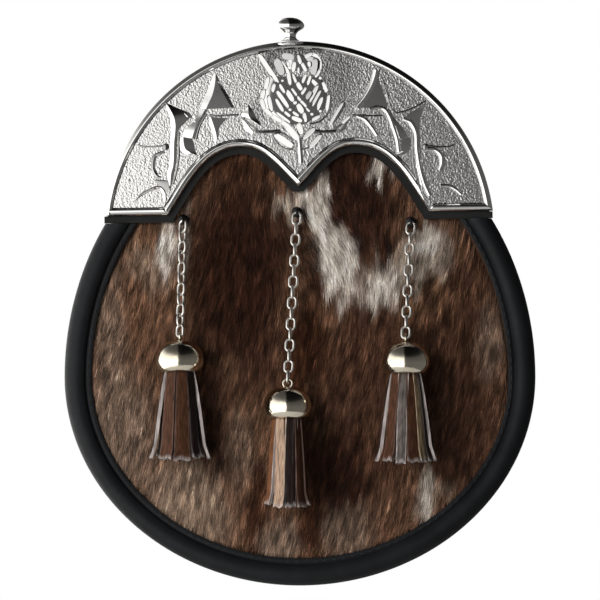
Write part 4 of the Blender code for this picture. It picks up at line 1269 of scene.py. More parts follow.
# Painted shade lines: dark strands laid along the leaves where their facets fall into shade; their radius and
# their places, in the leaves' millimetres.
PAINTED_SHADE_LINES: tuple[tuple[float, Profile], ...] = (
    (0.45, ((67.4, 2.4), (65.2, 1.6), (60.4, 1.5), (56.6, 1.9))),
    (0.50, ((36.8, 14.9), (33.0, 14.6), (28.0, 14.9), (24.2, 15.0))),
    (0.50, ((22.6, 13.8), (20.0, 11.3), (17.8, 9.8), (16.4, 8.0))),
    (0.80, ((17.2, 8.0), (14.0, 7.8), (10.4, 7.8), (6.6, 8.2))),
    (0.45, ((9.4, 7.2), (6.0, 7.2), (2.4, 5.0), (0.8, 2.4))),
    (0.40, ((9.9, 6.6), (8.2, 3.2), (5.2, 0.9), (1.2, 0.1))),
    (0.60, ((37.9, 15.6), (40.4, 11.4), (41.7, 7.6), (42.4, 4.6))),
    (0.55, ((49.9, 8.0), (49.8, 2.6), (49.8, -3.0), (50.6, -8.6), (52.2, -14.6))))
LEFT_PAINTED_SHADE_LINES: tuple[tuple[float, Profile], ...] = (
    (0.65, ((56.0, -0.6), (59.4, -1.8), (60.8, -3.6), (60.9, -7.6), (59.4, -10.8), (57.4, -11.8))),)
# A dark round spot painted where the curl's middle lies in shade: its place in the leaves' millimetres, and
# its radius.
CURL_SHADE_SPOT = (55.3, 1.4)
CURL_SHADE_SPOT_RADIUS = 1.5 * MM


BAR_TILT = 0.50
BAR_FULLNESS = 0.56
BAR_END_SINK = 0.4 * MM
BAR_LIFT = 0.25 * MM
ROUND_UNDER = 0.1


@dataclass(frozen=True)
class Bar:
    """A short raised bar of the thistle's weave, from end to end in millimetres."""

    start: Span
    end: Span
    width: float
    rise: float = 0.42

    def matrix(self) -> Matrix:
        """Lay a unit ball along the bar, rolled to face the left, its ends kept out of the field."""
        a, b = Vector(self.start), Vector(self.end)
        along = (b - a).normalized() if (b - a).length > ROUND_UNDER else Vector((0.0, 1.0))
        wide = Vector((-along.y, along.x))
        half_long = ((b - a).length + self.width) * 0.5 * MM
        half_wide = self.width * BAR_FULLNESS * MM
        most = BAR_END_SINK / half_long
        pitch = min(max(BAR_TILT * along.x, -most), most)
        roll = BAR_TILT * wide.x
        middle = CANTLE.on_field(np.array((a + b) / 2.0) * MM, BAR_LIFT)
        return placed_on(middle.tolist(), ((along.x * half_long, -pitch * half_long, along.y * half_long),
                                           (wide.x * half_wide, -roll * half_wide, wide.y * half_wide),
                                           (0.0, self.rise * MM, 0.0)))


def run_of_bars(line: Profile, width: float) -> list[Bar]:
    """Bars end to end along places in millimetres."""
    return [Bar(start, end, width) for start, end in zip(line[:-1], line[1:])]


def loose_bars(rows_of_bars: Sequence[tuple[float, float, float, float, float]]) -> list[Bar]:
    """Bars from rows of their two ends, as x, z and x, z, and their width."""
    return [Bar(row[:2], row[2:4], row[4]) for row in rows_of_bars]


SPIKE = Bar((-17.3, 40.4), (-9.6, 28.9), 2.0, 0.6)
OUTLINES = (*run_of_bars(((-13.7, 30.6), (-14.8, 26.0)), 1.7),
            *run_of_bars(((-15.5, 25.1), (-16.4, 21.4), (-15.4, 17.9), (-12.4, 15.0), (-8.4, 12.3),
                          (-5.0, 10.2), (-0.8, 5.2)), 1.7),
            *run_of_bars(((1.9, 39.9), (4.8, 41.0), (7.3, 40.0), (8.6, 37.2), (8.1, 33.8), (6.6, 31.6)), 1.6),
            *loose_bars(((18.3, 20.4, 12.0, 9.9, 1.3), (21.0, 14.2, 18.1, 11.6, 1.2),
                         (-8.6, 37.2, -5.3, 33.2, 1.8))))
# The strands of the right scroll: their radius, their height over the field and their places.
RIGHT_TENDRILS: tuple[tuple[float, float, Profile], ...] = (
    (1.45, 0.40, ((32.5, 34.0), (31.6, 30.2), (29.8, 26.0), (27.2, 21.8), (24.2, 18.2))),
    (1.00, 0.05, ((29.6, 17.4), (32.8, 18.2), (35.8, 17.5), (37.9, 14.6), (39.7, 9.9), (41.4, 4.5),
                  (42.1, -0.8))),
    (0.95, 0.00, ((24.2, 14.6), (27.5, 13.2), (30.4, 9.9), (32.8, 6.2))),
    (1.10, 0.25, ((43.9, 13.4), (47.2, 11.7), (49.4, 7.2), (49.8, 0.3), (51.0, -7.4), (52.8, -14.0),
                  (55.2, -19.4))),
    (1.20, 0.00, ((54.0, 0.6), (57.3, 0.3), (60.0, -2.1), (60.4, -5.7), (59.4, -8.6))),
    (0.75, -0.05, ((59.7, -15.1), (63.3, -15.2), (66.3, -16.7), (68.7, -18.8))))
SOFT_LEAVES = loose_bars((
    (-9.9, 37.6, -8.2, 33.2, 3.4), (-6.6, 40.2, -3.2, 39.6, 2.6), (2.9, 39.2, 5.4, 38.6, 2.0),
    (5.9, 37.6, 5.2, 33.2, 3.4), (2.9, 22.4, 4.2, 24.4, 1.8)))
WEAVE = loose_bars((
    (-11.1, 27.7, -11.7, 25.3, 1.5), (-13.4, 22.6, -12.3, 16.9, 1.8), (-10.2, 21.4, -7.4, 16.8, 1.5),
    (-9.6, 24.7, -5.3, 18.4, 1.8), (-8.6, 27.7, -6.8, 24.7, 1.3), (-7.5, 29.6, -7.5, 29.6, 1.1),
    (-8.3, 37.8, -5.2, 33.4, 1.6), (-5.2, 33.4, -4.3, 28.3, 1.6), (-3.2, 32.2, -1.9, 29.2, 1.3),
    (-5.2, 37.2, -5.2, 36.1, 1.5), (-2.5, 36.9, -3.2, 33.7, 1.8), (-1.0, 39.9, -0.1, 37.5, 1.8),
    (0.8, 36.9, 2.3, 34.0, 1.5), (3.8, 37.2, 3.8, 36.1, 1.5), (-0.7, 34.9, -0.7, 33.1, 1.0),
    (2.3, 31.9, 1.0, 28.9, 1.3), (4.3, 31.3, 3.2, 28.1, 1.3), (8.6, 30.7, 8.6, 30.7, 1.3),
    (9.8, 28.3, 11.0, 25.3, 1.8), (5.3, 29.5, 7.4, 27.4, 1.6), (7.4, 27.4, 3.8, 20.5, 1.6),
    (8.6, 25.3, 5.0, 18.7, 1.3), (9.2, 22.0, 7.4, 17.5, 1.6), (12.2, 23.2, 11.3, 16.9, 1.5),
    (-1.0, 28.3, 0.2, 26.2, 1.8), (2.2, 26.2, 0.8, 24.1, 1.3), (-3.4, 25.9, -1.7, 23.5, 1.2),
    (-5.4, 24.7, -3.4, 21.4, 2.1), (-1.0, 22.6, -0.1, 21.4, 1.2), (-2.2, 20.2, -2.2, 20.2, 1.6),
    (0.4, 20.8, 2.3, 18.7, 1.3), (-0.7, 18.7, 0.5, 16.6, 2.4), (2.6, 17.8, 3.8, 16.6, 1.0),
    (-4.3, 17.2, -4.3, 17.2, 1.3), (-6.3, 16.0, -4.6, 14.6, 1.3), (-2.8, 16.0, -1.0, 14.7, 1.2),
    (-2.8, 13.7, 0.2, 12.5, 1.8), (1.7, 15.4, 2.2, 12.5, 1.6), (5.0, 15.3, 5.0, 15.3, 1.3),
    (5.6, 13.1, 8.0, 14.3, 1.5), (8.6, 16.6, 8.6, 16.6, 1.2), (-9.8, 15.7, -4.6, 11.9, 1.3),
    (-5.7, 10.1, -1.4, 4.7, 2.5), (5.6, 8.9, 1.7, 5.3, 2.2), (-0.6, 10.4, 0.2, 7.6, 2.6),
    (-10.0, 6.0, -3.6, 1.6, 2.6), (8.6, 6.2, 4.4, 1.4, 2.0)))


@dataclass
class CantleRelief:
    """The raised leaves and the woven thistle of the cantle's field."""

    bulb_z: tuple[float, ...] = (31.4, 28.6, 25.8, 21.7, 18.5, 15.6, 13.4, 11.8, 10.9)
    bulb_half: tuple[float, ...] = (10.6, 12.4, 13.2, 13.7, 13.0, 10.6, 7.6, 5.0, 3.0)
    bulb_foot_shift: float = 0.8 * MM
    bulb_shift_z: Span = (15.0 * MM, 5.0 * MM)
    ground_lift: Span = (0.16 * MM, -1.1 * MM)
    ground_edge: float = 0.15
    flower_middle: Span = (-0.7 * MM, 35.4 * MM)
    flower_half: Span = (5.0 * MM, 5.6 * MM)
    # How dark each part is painted: the shade lines and spot as painted shade, the grounds for patina and
    # shade, and the bars and soft leaves grey as painted shade.
    darkness: float = 0.75
    ground_patina_and_shade: float = 0.25
    soft_leaf_painted_shade: float = 0.68
    bar_painted_shade: float = 0.45
    # The right outline, vein and twig are dark strands painted as shade lines.
    right_outline: Profile = ((13.0, 24.2), (12.6, 17.0), (8.6, 12.4), (4.4, 11.1))
    right_press: float = 0.35
    right_vein: Profile = ((34.9, 30.8), (37.0, 24.2), (40.0, 16.4), (47.2, 17.6), (53.7, 21.2))
    right_twig: Profile = ((19.0, 20.5), (18.4, 18.0), (16.4, 14.6), (14.2, 11.4))
    stem_line: Profile = ((-0.4, 5.0), (-0.1, 1.6), (0.2, -2.0), (0.4, -5.6))
    stem_radius: float = 1.0
    stem_lift: float = 0.15
    line_radius: float = 0.45
    line_lift: float = -0.20
    shade_line_lift: float = -0.25
    shade_spot_rise: float = 0.5 * MM
    flower_rise: float = 0.35 * MM
    flower_lift: float = -0.15 * MM
    bar_squareness: float = 0.72
    bar_flatness: float = 3.0

    def half_at(self, z: Array) -> Array:
        """The thistle bulb's half width at a height."""
        return np.interp(z / MM, self.bulb_z[::-1], self.bulb_half[::-1]) * MM

    def axis_at(self, z: Array) -> Array:
        """The middle of the bulb at a height; its foot stands a little to the right."""
        start, end = self.bulb_shift_z
        part = np.clip((start - z) / (start - end), 0.0, 1.0)
        return LEAF_AXIS_X + self.bulb_foot_shift * part

    def strand(self, line: Profile, radius: float, lift: float) -> Piece:
        """A raised strand along places on the field, all in millimetres."""
        flat = spline(line, 10 * (len(line) - 1)) * MM
        return tube("strand", CANTLE.on_field(flat, lift * MM), radius * MM, 12)

    def bars(self, chosen: Sequence[Bar], darkness: float) -> Piece:
        """Short bars, each a ball drawn out and pressed flat on top, evenly painted darker as shade."""
        ball = unit_ball(16, 8)
        points = coordinates(ball.data)
        points[:, :2] = np.sign(points[:, :2]) * np.abs(points[:, :2]) ** self.bar_squareness
        points[:, 2] = np.tanh(self.bar_flatness * points[:, 2])
        set_coordinates(ball.data, points)
        return with_patina_and_shade(turned_outwards(many("bars", ball, [bar.matrix() for bar in chosen])), darkness)

    def painted_shades(self) -> Piece:
        """The painted shade: dark lines along the leaves, the painted shadow by the foot leaf and a dark spot
        in the curl's shaded middle, joined with the patina and shade of the grounds.
        """
        made = [FOOT_SHADOW.build(-1)]
        for line in (self.right_outline, self.right_twig, self.right_vein):
            made.append(self.strand(line, self.line_radius, self.line_lift))
        for side in (1, -1):
            for radius, line in PAINTED_SHADE_LINES + (LEFT_PAINTED_SHADE_LINES if side < 0 else ()):
                places = [(LEAF_AXIS_X / MM + side * x, z) for x, z in line]
                made.append(self.strand(places, radius, self.shade_line_lift))
            middle = (LEAF_AXIS_X + side * CURL_SHADE_SPOT[0] * MM, CURL_SHADE_SPOT[1] * MM)
            made.append(self.mound(middle, (CURL_SHADE_SPOT_RADIUS, CURL_SHADE_SPOT_RADIUS), self.shade_spot_rise, 0.0))
        dark = with_patina_and_shade(joined("painted_shades", made), self.darkness)
        return joined("painted_shades", [dark, with_patina_and_shade(joined("grounds", self.grounds()), self.ground_patina_and_shade)])

    def grounds(self) -> list[Piece]:
        """The grounds under the bulb's bars and inside the flower, painted darker for patina and shade."""
        steps, sides = 40, 18
        z = np.linspace(self.bulb_z[-1], self.bulb_z[0], steps + 1) * MM

        def place(u: Array, v: Array) -> Array:
            """Lay the ground as a low closed plate."""
            turn = u * 2.0 * math.pi
            height = z[cell(v, steps)]
            x = self.axis_at(height) - np.cos(turn) * self.half_at(height)
            lift = np.where(np.sin(turn) > 0.0, *self.ground_lift) * np.abs(np.sin(turn)) ** self.ground_edge
            return CANTLE.on_field(rows(x, height), lift)

        flower = self.mound(self.flower_middle, self.flower_half, self.flower_rise, self.flower_lift)
        return [close_seams(laid_sheet("ground", sides, steps, place)), flower]

    def mound(self, middle: Span, half: Span, rise: float, lift: float) -> Piece:
        """A low round rise: a ball pressed flat on the field."""
        ball = unit_ball(24, 12)
        place = Matrix.Translation(CANTLE.on_field(np.array(middle), lift).tolist())
        ball.data.transform(place @ Matrix.Diagonal((half[0], rise, half[1], 1.0)))
        return ball

    def build(self) -> None:
        """Make the leaves and the thistle."""
        leaves = [leaf.build(-1) for leaf in LEFT_LEAVES]
        leaves += [leaf.build(1, self.right_press) for leaf in RIGHT_LEAVES]
        dressed(with_patina_and_shade(joined("leaves", leaves), 0.0), "cantle_leaves", POLISHED, 24.0, "cantle")
        dressed(self.painted_shades(), "cantle_painted_shade_and_ground", POLISHED, 60.0, "cantle")
        stem = with_patina_and_shade(self.strand(self.stem_line, self.stem_radius, self.stem_lift), 0.0)
        tendrils = [with_patina_and_shade(self.strand(line, radius, lift), 0.0) for radius, lift, line in RIGHT_TENDRILS]
        thistle = joined("thistle", [*tendrils, self.bars((*WEAVE, SPIKE, *OUTLINES), self.bar_painted_shade),
                                     self.bars(SOFT_LEAVES, self.soft_leaf_painted_shade), stem])
        dressed(thistle, "cantle_thistle", POLISHED, 50.0, "cantle")


@dataclass
class Knob:
    """The small turned knob on the cantle's top edge."""

    x: float = -4.3 * MM
    height_over_front: float = -5.4 * MM
    gap: float = 0.3 * MM
    profile: Profile = ((0.02, 9.85), (1.4, 9.8), (2.9, 9.5), (4.2, 8.95), (5.2, 8.2), (5.9, 7.3),
                        (6.15, 6.6), (6.1, 6.0), (5.7, 5.35), (4.9, 4.75), (4.0, 4.2), (3.3, 3.6),
                        (2.8, 2.9), (2.55, 2.2), (2.55, 1.6), (2.75, 1.05), (3.15, 0.6), (3.7, 0.25),
                        (4.0, 0.1), (4.0, 0.0), (0.02, 0.0))

    def build(self) -> None:
        """Make the knob."""
        knob = turned("knob", in_metres(self.profile), 48)
        top = CANTLE.centre_z + CANTLE.radius + self.gap
        y = FORM.front_y(self.x, top) + self.height_over_front
        knob.data.transform(Matrix.Translation((self.x, y, top)))
        dressed(knob, "cantle_knob_turned", POLISHED, 50.0, "cantle_knob")


@dataclass
class Backing:
    """The leather layer behind the cantle, a narrow border under its lower edge."""

    back: float = -3.9 * MM
    face: float = -5.9 * MM
    radius: float = 81.6 * MM
    margin: float = 3.0 * MM
    foot_half: float = 82.8 * MM
    foot_drop: float = 0.1 * MM
    step_drop: float = 0.3 * MM
    arc_steps: int = 159
    lobe_steps: int = 36
    edge_width: float = 0.001 * MM

    def outline(self) -> Array:
        """The layer's outline."""
        foot = CANTLE.foot_z - self.margin - self.foot_drop
        lobe = CANTLE.lobe(self.lobe_steps)
        out = lobe - turned_right(directions(lobe)) * self.margin
        out = out[(out[:, 0] > POLE) & (out[:, 1] > foot)]
        step = CANTLE.foot_z - self.step_drop
        turn = (out[0, 0] + self.foot_drop, foot)
        half = np.concatenate([[(self.foot_half, step), (self.foot_half, foot), turn], out])
        top = CANTLE.top_arc(self.radius, self.arc_steps)
        return CANTLE.placed(np.concatenate([top, half, mirrored(half)]))

    def build(self) -> None:
        """Make the layer, its points brought onto the bowed front."""
        layer = outline_plate("layer", self.outline(), 1.0)
        applied(layer, "BEVEL", width=self.edge_width, segments=1, limit_method="ANGLE", angle_limit=1.0)
        points = coordinates(layer.data)
        height = np.where(points[:, 1] < -0.5, self.face, self.back)
        points[:, 1] = FORM.front_y(points[:, 0], points[:, 2]) + height
        set_coordinates(layer.data, points)
        dressed(layer, "cantle_backing_leather", EDGE_LEATHER, 40.0, "cantle_backing")


# ---------------------------------------------------------------- the hair coat

VERY_DARK: Colour = (0.027, 0.0105, 0.006)
DARK_RED: Colour = (0.050, 0.020, 0.010)
UMBER: Colour = (0.068, 0.032, 0.019)
MID_BROWN: Colour = (0.115, 0.060, 0.036)
WARM_BROWN: Colour = (0.125, 0.066, 0.038)
TAUPE: Colour = (0.175, 0.120, 0.088)
TAN: Colour = (0.235, 0.165, 0.120)
PALE: Colour = (0.34, 0.28, 0.23)
CREAM: Colour = (0.58, 0.51, 0.45)


@dataclass(frozen=True)
class Patch:
    """A soft patch of the coat: its middle and half sizes in millimetres, its tilt and its tone.

    The tilt turns the patch's upper end to the left, in degrees.
    """

    x: float
    z: float
    half_width: float
    half_height: float
    tone: Colour
    strength: float = 1.0
    tilt: float = 0.0
    softness: float = 0.45

    def weight(self, x: Array, z: Array) -> Array:
        """How strongly the patch colours places given in millimetres."""
        turn = math.radians(self.tilt)
        across, up = x - self.x, z - self.z
        along = up * math.cos(turn) - across * math.sin(turn)
        aside = across * math.cos(turn) + up * math.sin(turn)
        reach = np.hypot(aside / self.half_width, along / self.half_height)
        part = np.clip((1.0 + self.softness - reach) / (2.0 * self.softness), 0.0, 1.0)
        return self.strength * part * part * (3.0 - 2.0 * part)


COAT_PATCHES = tuple(Patch(*row) for row in (
    (-65.5, -78, 17, 27, MID_BROWN), (-26.8, -89, 23, 19, UMBER), (29.8, -87, 20, 24, UMBER),
    (67, -77, 20, 34, UMBER), (-25.5, -48, 21, 42, VERY_DARK), (24, -22, 19, 22, VERY_DARK),
    (22, -2, 18, 10, VERY_DARK, 0.9), (-25, -4, 16, 10, DARK_RED, 0.7), (3.8, -83, 9, 19, DARK_RED),
    (-65.5, -38, 6, 7, WARM_BROWN), (-80, -80, 7, 30, TAUPE, 0.8), (-76, -120, 14, 26, TAUPE, 0.9),
    (-47, -152, 18, 23, TAN, 0.9), (-25, -126, 8, 19, MID_BROWN), (-36, -123, 6, 12, VERY_DARK, 0.8),
    (-17, -156, 4.5, 26, DARK_RED), (-8, -167, 9, 10, TAUPE), (19.6, -134, 16, 24, VERY_DARK),
    (21, -109, 14, 12, UMBER, 0.7), (21, -162, 12, 12, TAUPE, 0.8), (6.4, -157, 5, 16, DARK_RED),
    (72, -124, 16, 24, UMBER), (36, -130, 9, 16, UMBER), (43, -154, 11, 13, MID_BROWN),
    (82, -80, 6, 15, TAUPE, 0.7), (53, -60, 13, 8, WARM_BROWN, 0.8), (-62, -48, 11, 8, TAN, 0.8, -35),
    (-55, -39, 4.2, 9, CREAM, 1.0, -12), (-47, -36, 1.8, 15, PALE, 0.6, 2),
    (-5, -23.5, 6.5, 4.2, PALE, 0.85, -45), (5.5, -27, 5, 13, CREAM, 0.95, 24),
    (14.5, -47, 9, 15, CREAM, 1.0, 22), (4.3, -53, 2.8, 12, VERY_DARK, 0.85, 6),
    (36, -56, 11, 8, CREAM, 0.85, 50), (52, -46, 13, 10, PALE, 0.9, 20), (55.7, -35, 6.5, 5, CREAM, 0.9),
    (36, -43, 4.5, 8, VERY_DARK, 0.9), (54.5, -146, 3.6, 13, PALE, 0.95, -4),
    (61, -146, 4.5, 4.5, TAN, 0.8), (-24.5, -125, 6, 15, TAUPE, 0.6), (54.5, -146, 2.6, 9, CREAM, 0.6),
    (-31, -91, 11, 5, MID_BROWN, 0.7, -40), (36.2, -5.6, 4.6, 4.8, CREAM, 0.85, 35),
    (8, -17, 3.2, 6, CREAM, 0.85, -20)))


@dataclass
class Coat:
    """The short hair on the front, one blade at a time, over a thin toned hide.

    A blade has five points: two at its root, two halfway and one at its tip.  Its lean and the
    swirl of the coat are in degrees.  The hair parts at a place near the cantle's middle.
    """

    hairs: int = 150000
    batch: int = 100000
    root_inset: float = 11.9 * MM
    tip_inset: float = 11.1 * MM
    under_cantle: float = 3.0 * MM
    length: Span = (6.0 * MM, 9.5 * MM)
    width: Span = (0.16 * MM, 0.26 * MM)
    middle_width: float = 0.8
    stub: float = 0.08
    lean: float = 12.0
    lean_spread: float = 5.0
    swirl: float = 13.0
    parting: Span = (9.0 * MM, -32.0 * MM)
    parting_size: float = 17.0 * MM
    parting_turn: float = 42.0
    curl_spread: float = 0.35 * MM
    curl_swirl: float = 0.5 * MM
    stand: tuple[float, float, float] = (1.0, 0.25, -0.35)
    jitter: Span = (-0.35 * MM, 0.05 * MM)
    roll_spread: float = 0.6
    shade_spread: float = 0.42
    # Tone factors of a blade's five points, root to tip: painted shade at the root and painted light at the
    # tip.
    painted_root_shade_tip_light: tuple[float, ...] = (0.62, 0.62, 0.95, 0.95, 1.30)
    swirls_per_metre: float = 42.0
    locks_per_metre: float = 640.0
    lock_depth: float = 1.5
    lock_stretch: float = 0.20
    streaks_per_metre: float = 300.0
    streak_stretch: float = 0.22
    drifts_per_metre: float = 110.0
    streak_shift: Span = (1.5, 7.5)
    drift_shift: Span = (1.6, 3.0)
    streak_depth: float = 0.42
    top_z: float = 8.0 * MM
    left_line: float = -27.0 * MM
    right_line: float = 27.0 * MM
    rings: int = 24
    ring_stations: int = 160
    ring_inset: float = 6.6 * MM
    ring_shoulder: float = 12.0 * MM
    ring_arch_half: float = 75.0 * MM
    heart_share: float = 0.001
    hide_sink: float = 0.95 * MM
    hide_back: float = 0.1 * MM
    hide_painted_shade: float = 0.5

    def tones(self, x: Array, z: Array) -> Array:
        """The coat's colour at places in metres, its patches streaked along the hair."""
        streak = fine_noise(rows(x, z * self.streak_stretch, 0.013), self.streaks_per_metre)
        drift = fine_noise(rows(x, z, 0.31), self.drifts_per_metre)
        across = x / MM + self.streak_shift[0] * streak + self.drift_shift[0] * drift
        up = z / MM + self.streak_shift[1] * streak + self.drift_shift[1] * drift
        tone = np.tile(np.array(MID_BROWN), (len(x), 1))
        for patch in COAT_PATCHES:
            weight = patch.weight(across, up)[:, None]
            tone = tone * (1.0 - weight) + np.array(patch.tone) * weight
        return tone * (1.0 + self.streak_depth * streak[:, None])

    def roots(self, chance: np.random.Generator) -> Array:
        """Random places on the visible front, as (x, z)."""
        low_line = CANTLE.lower_line(0.0)
        kept = []
        total = 0
        while total < self.hairs:
            x = chance.uniform(-FORM.half_width, FORM.half_width, self.batch)
            z = chance.uniform(FORM.widest_z - FORM.lower_rise, self.top_z, self.batch)
            edge = np.interp(x, low_line[:, 0], low_line[:, 1])
            keep = FORM.inside(x, z, self.root_inset) & (z < edge + self.under_cantle)
            kept.append(rows(x, z)[keep])
            total += int(keep.sum())
        return np.concatenate(kept)[:self.hairs]

    def blades(self, roots: Array, chance: np.random.Generator) -> tuple[Array, Array]:
        """The points and the tones of all blades, five points each."""
        count = len(roots)
        x, z = roots[:, 0], roots[:, 1]
        swirl = fine_noise(rows(x, z, 0.7), self.swirls_per_metre)
        away = (x - self.parting[0]) ** 2 + (z - self.parting[1]) ** 2
        parted = np.exp(-away / (2.0 * self.parting_size ** 2))
        lean = np.radians(self.lean + self.swirl * swirl - self.parting_turn * parted
                          + chance.normal(0.0, self.lean_spread, count))
        length = chance.uniform(*self.length, count)
        way = rows(-np.sin(lean), -np.cos(lean))
        curl = chance.normal(0.0, self.curl_spread, count) + self.curl_swirl * swirl
        jitter = chance.uniform(*self.jitter, count)
        roll = chance.normal(0.0, self.roll_spread, count)
        half = chance.uniform(*self.width, count) / 2.0
        side = rows(-way[:, 1], way[:, 0])
        spine = []
        for part, rise in zip((0.0, 0.5, 1.0), self.stand):
            bow = curl * part * part
            flat = roots + way * (length * part)[:, None] + side * bow[:, None]
            free = FORM.inside(flat[:, 0], flat[:, 1], self.tip_inset)[:, None]
            flat = np.where(free, flat, roots + way * (length * part * self.stub)[:, None])
            y = FORM.hair_y(flat[:, 0], flat[:, 1]) + rise * MM + jitter
            spine.append(rows(flat[:, 0], y, flat[:, 1]))
        wide = rows(side[:, 0] * np.cos(roll), np.sin(roll), side[:, 1] * np.cos(roll)) * half[:, None]
        root, middle, tip = spine
        points = np.stack([root - wide, root + wide, middle + wide * self.middle_width,
                           middle - wide * self.middle_width, tip], axis=1)
        tone = self.tones(x, z - length * 0.5)
        aside = x - z * math.tan(math.radians(self.lean))
        lock = fine_noise(rows(aside, z * self.lock_stretch, 0.5), self.locks_per_metre)
        shade = np.exp(chance.normal(0.0, self.shade_spread, count) + self.lock_depth * lock)
        tone = tone * shade[:, None]
        # Each blade gets painted shade at its root and painted light at its tip.
        return points, tone[:, None, :] * np.array(self.painted_root_shade_tip_light)[None, :, None]

    def build(self) -> None:
        """Make the hide and the hair, in three pieces side by side."""
        chance = np.random.default_rng(20)
        roots = self.roots(chance)
        points, tones = self.blades(roots, chance)
        x = roots[:, 0]
        for name, chosen in (("left", x < self.left_line), ("right", x > self.right_line),
                             ("middle", (x >= self.left_line) & (x <= self.right_line))):
            starts = range(0, 5 * int(chosen.sum()), 5)
            faces = [(s, s + 1, s + 2, s + 3) for s in starts] + [(s + 3, s + 2, s + 4) for s in starts]
            hair = meshed("hair", points[chosen].reshape(-1, 3), faces)
            add_tones(hair, "tone", np.clip(tones[chosen].reshape(-1, 3), 0.0, 1.0))
            dressed(hair, "front_hair_" + name, COAT, 0.0, "front_panel")
        self.hide()

    def hide(self) -> None:
        """Make the toned hide that the hair stands on, from rings inside the outline, painted darker as the
        shade under the hair.
        """
        rise = self.ring_shoulder - FORM.shoulder_z
        arch = arc(self.ring_arch_half, FORM.shoulder_z, rise, arch_angles(60))
        ring = np.concatenate([FORM.side_outline(self.ring_inset, self.ring_stations), arch])
        heart = np.array([0.0, FORM.widest_z])
        count, last = len(ring), 2 * self.rings + 1

        def place(u: Array, v: Array) -> Array:
            """Lay the hide's face in rings, then its back, on the same rings."""
            line = cell(v, last)
            face = line <= self.rings
            share = np.where(face, line, last - line) / self.rings
            out = share * (1.0 - self.heart_share) + self.heart_share
            flat = heart + (ring[cell(u, count) % count] - heart) * out[:, None]
            x, z = flat[:, 0], flat[:, 1]
            back = FORM.front_y(x, z) - self.hide_back
            front = FORM.hair_y(x, z) + self.hide_sink
            return rows(x, np.where(face, np.minimum(front, back), back), z)

        hide = close_seams(laid_sheet("hide", count, last, place))
        where = coordinates(hide.data)
        # The hide takes the coat's tones darkened: painted shade, as it lies under the hair.
        add_tones(hide, "tone", np.clip(self.tones(where[:, 0], where[:, 2]) * self.hide_painted_shade, 0.0, 1.0))
        dressed(hide, "front_hide", SKIN, 60.0, "front_panel")


# ---------------------------------------------------------------- the tassels

@dataclass(frozen=True)
class StripLook:
    """One hide strip of a tassel as it hangs, its lengths in millimetres and its turns in degrees.

    The angle says where it starts round the cap, from the right towards the back.  Its edges show
    the pale suede in parts from 0 to 1.
    """

    angle: float
    foot_x: float
    foot_width: float
    drop: float
    tone: Colour
    twist: float = 0.0
    edges: Span = (0.08, 0.08)


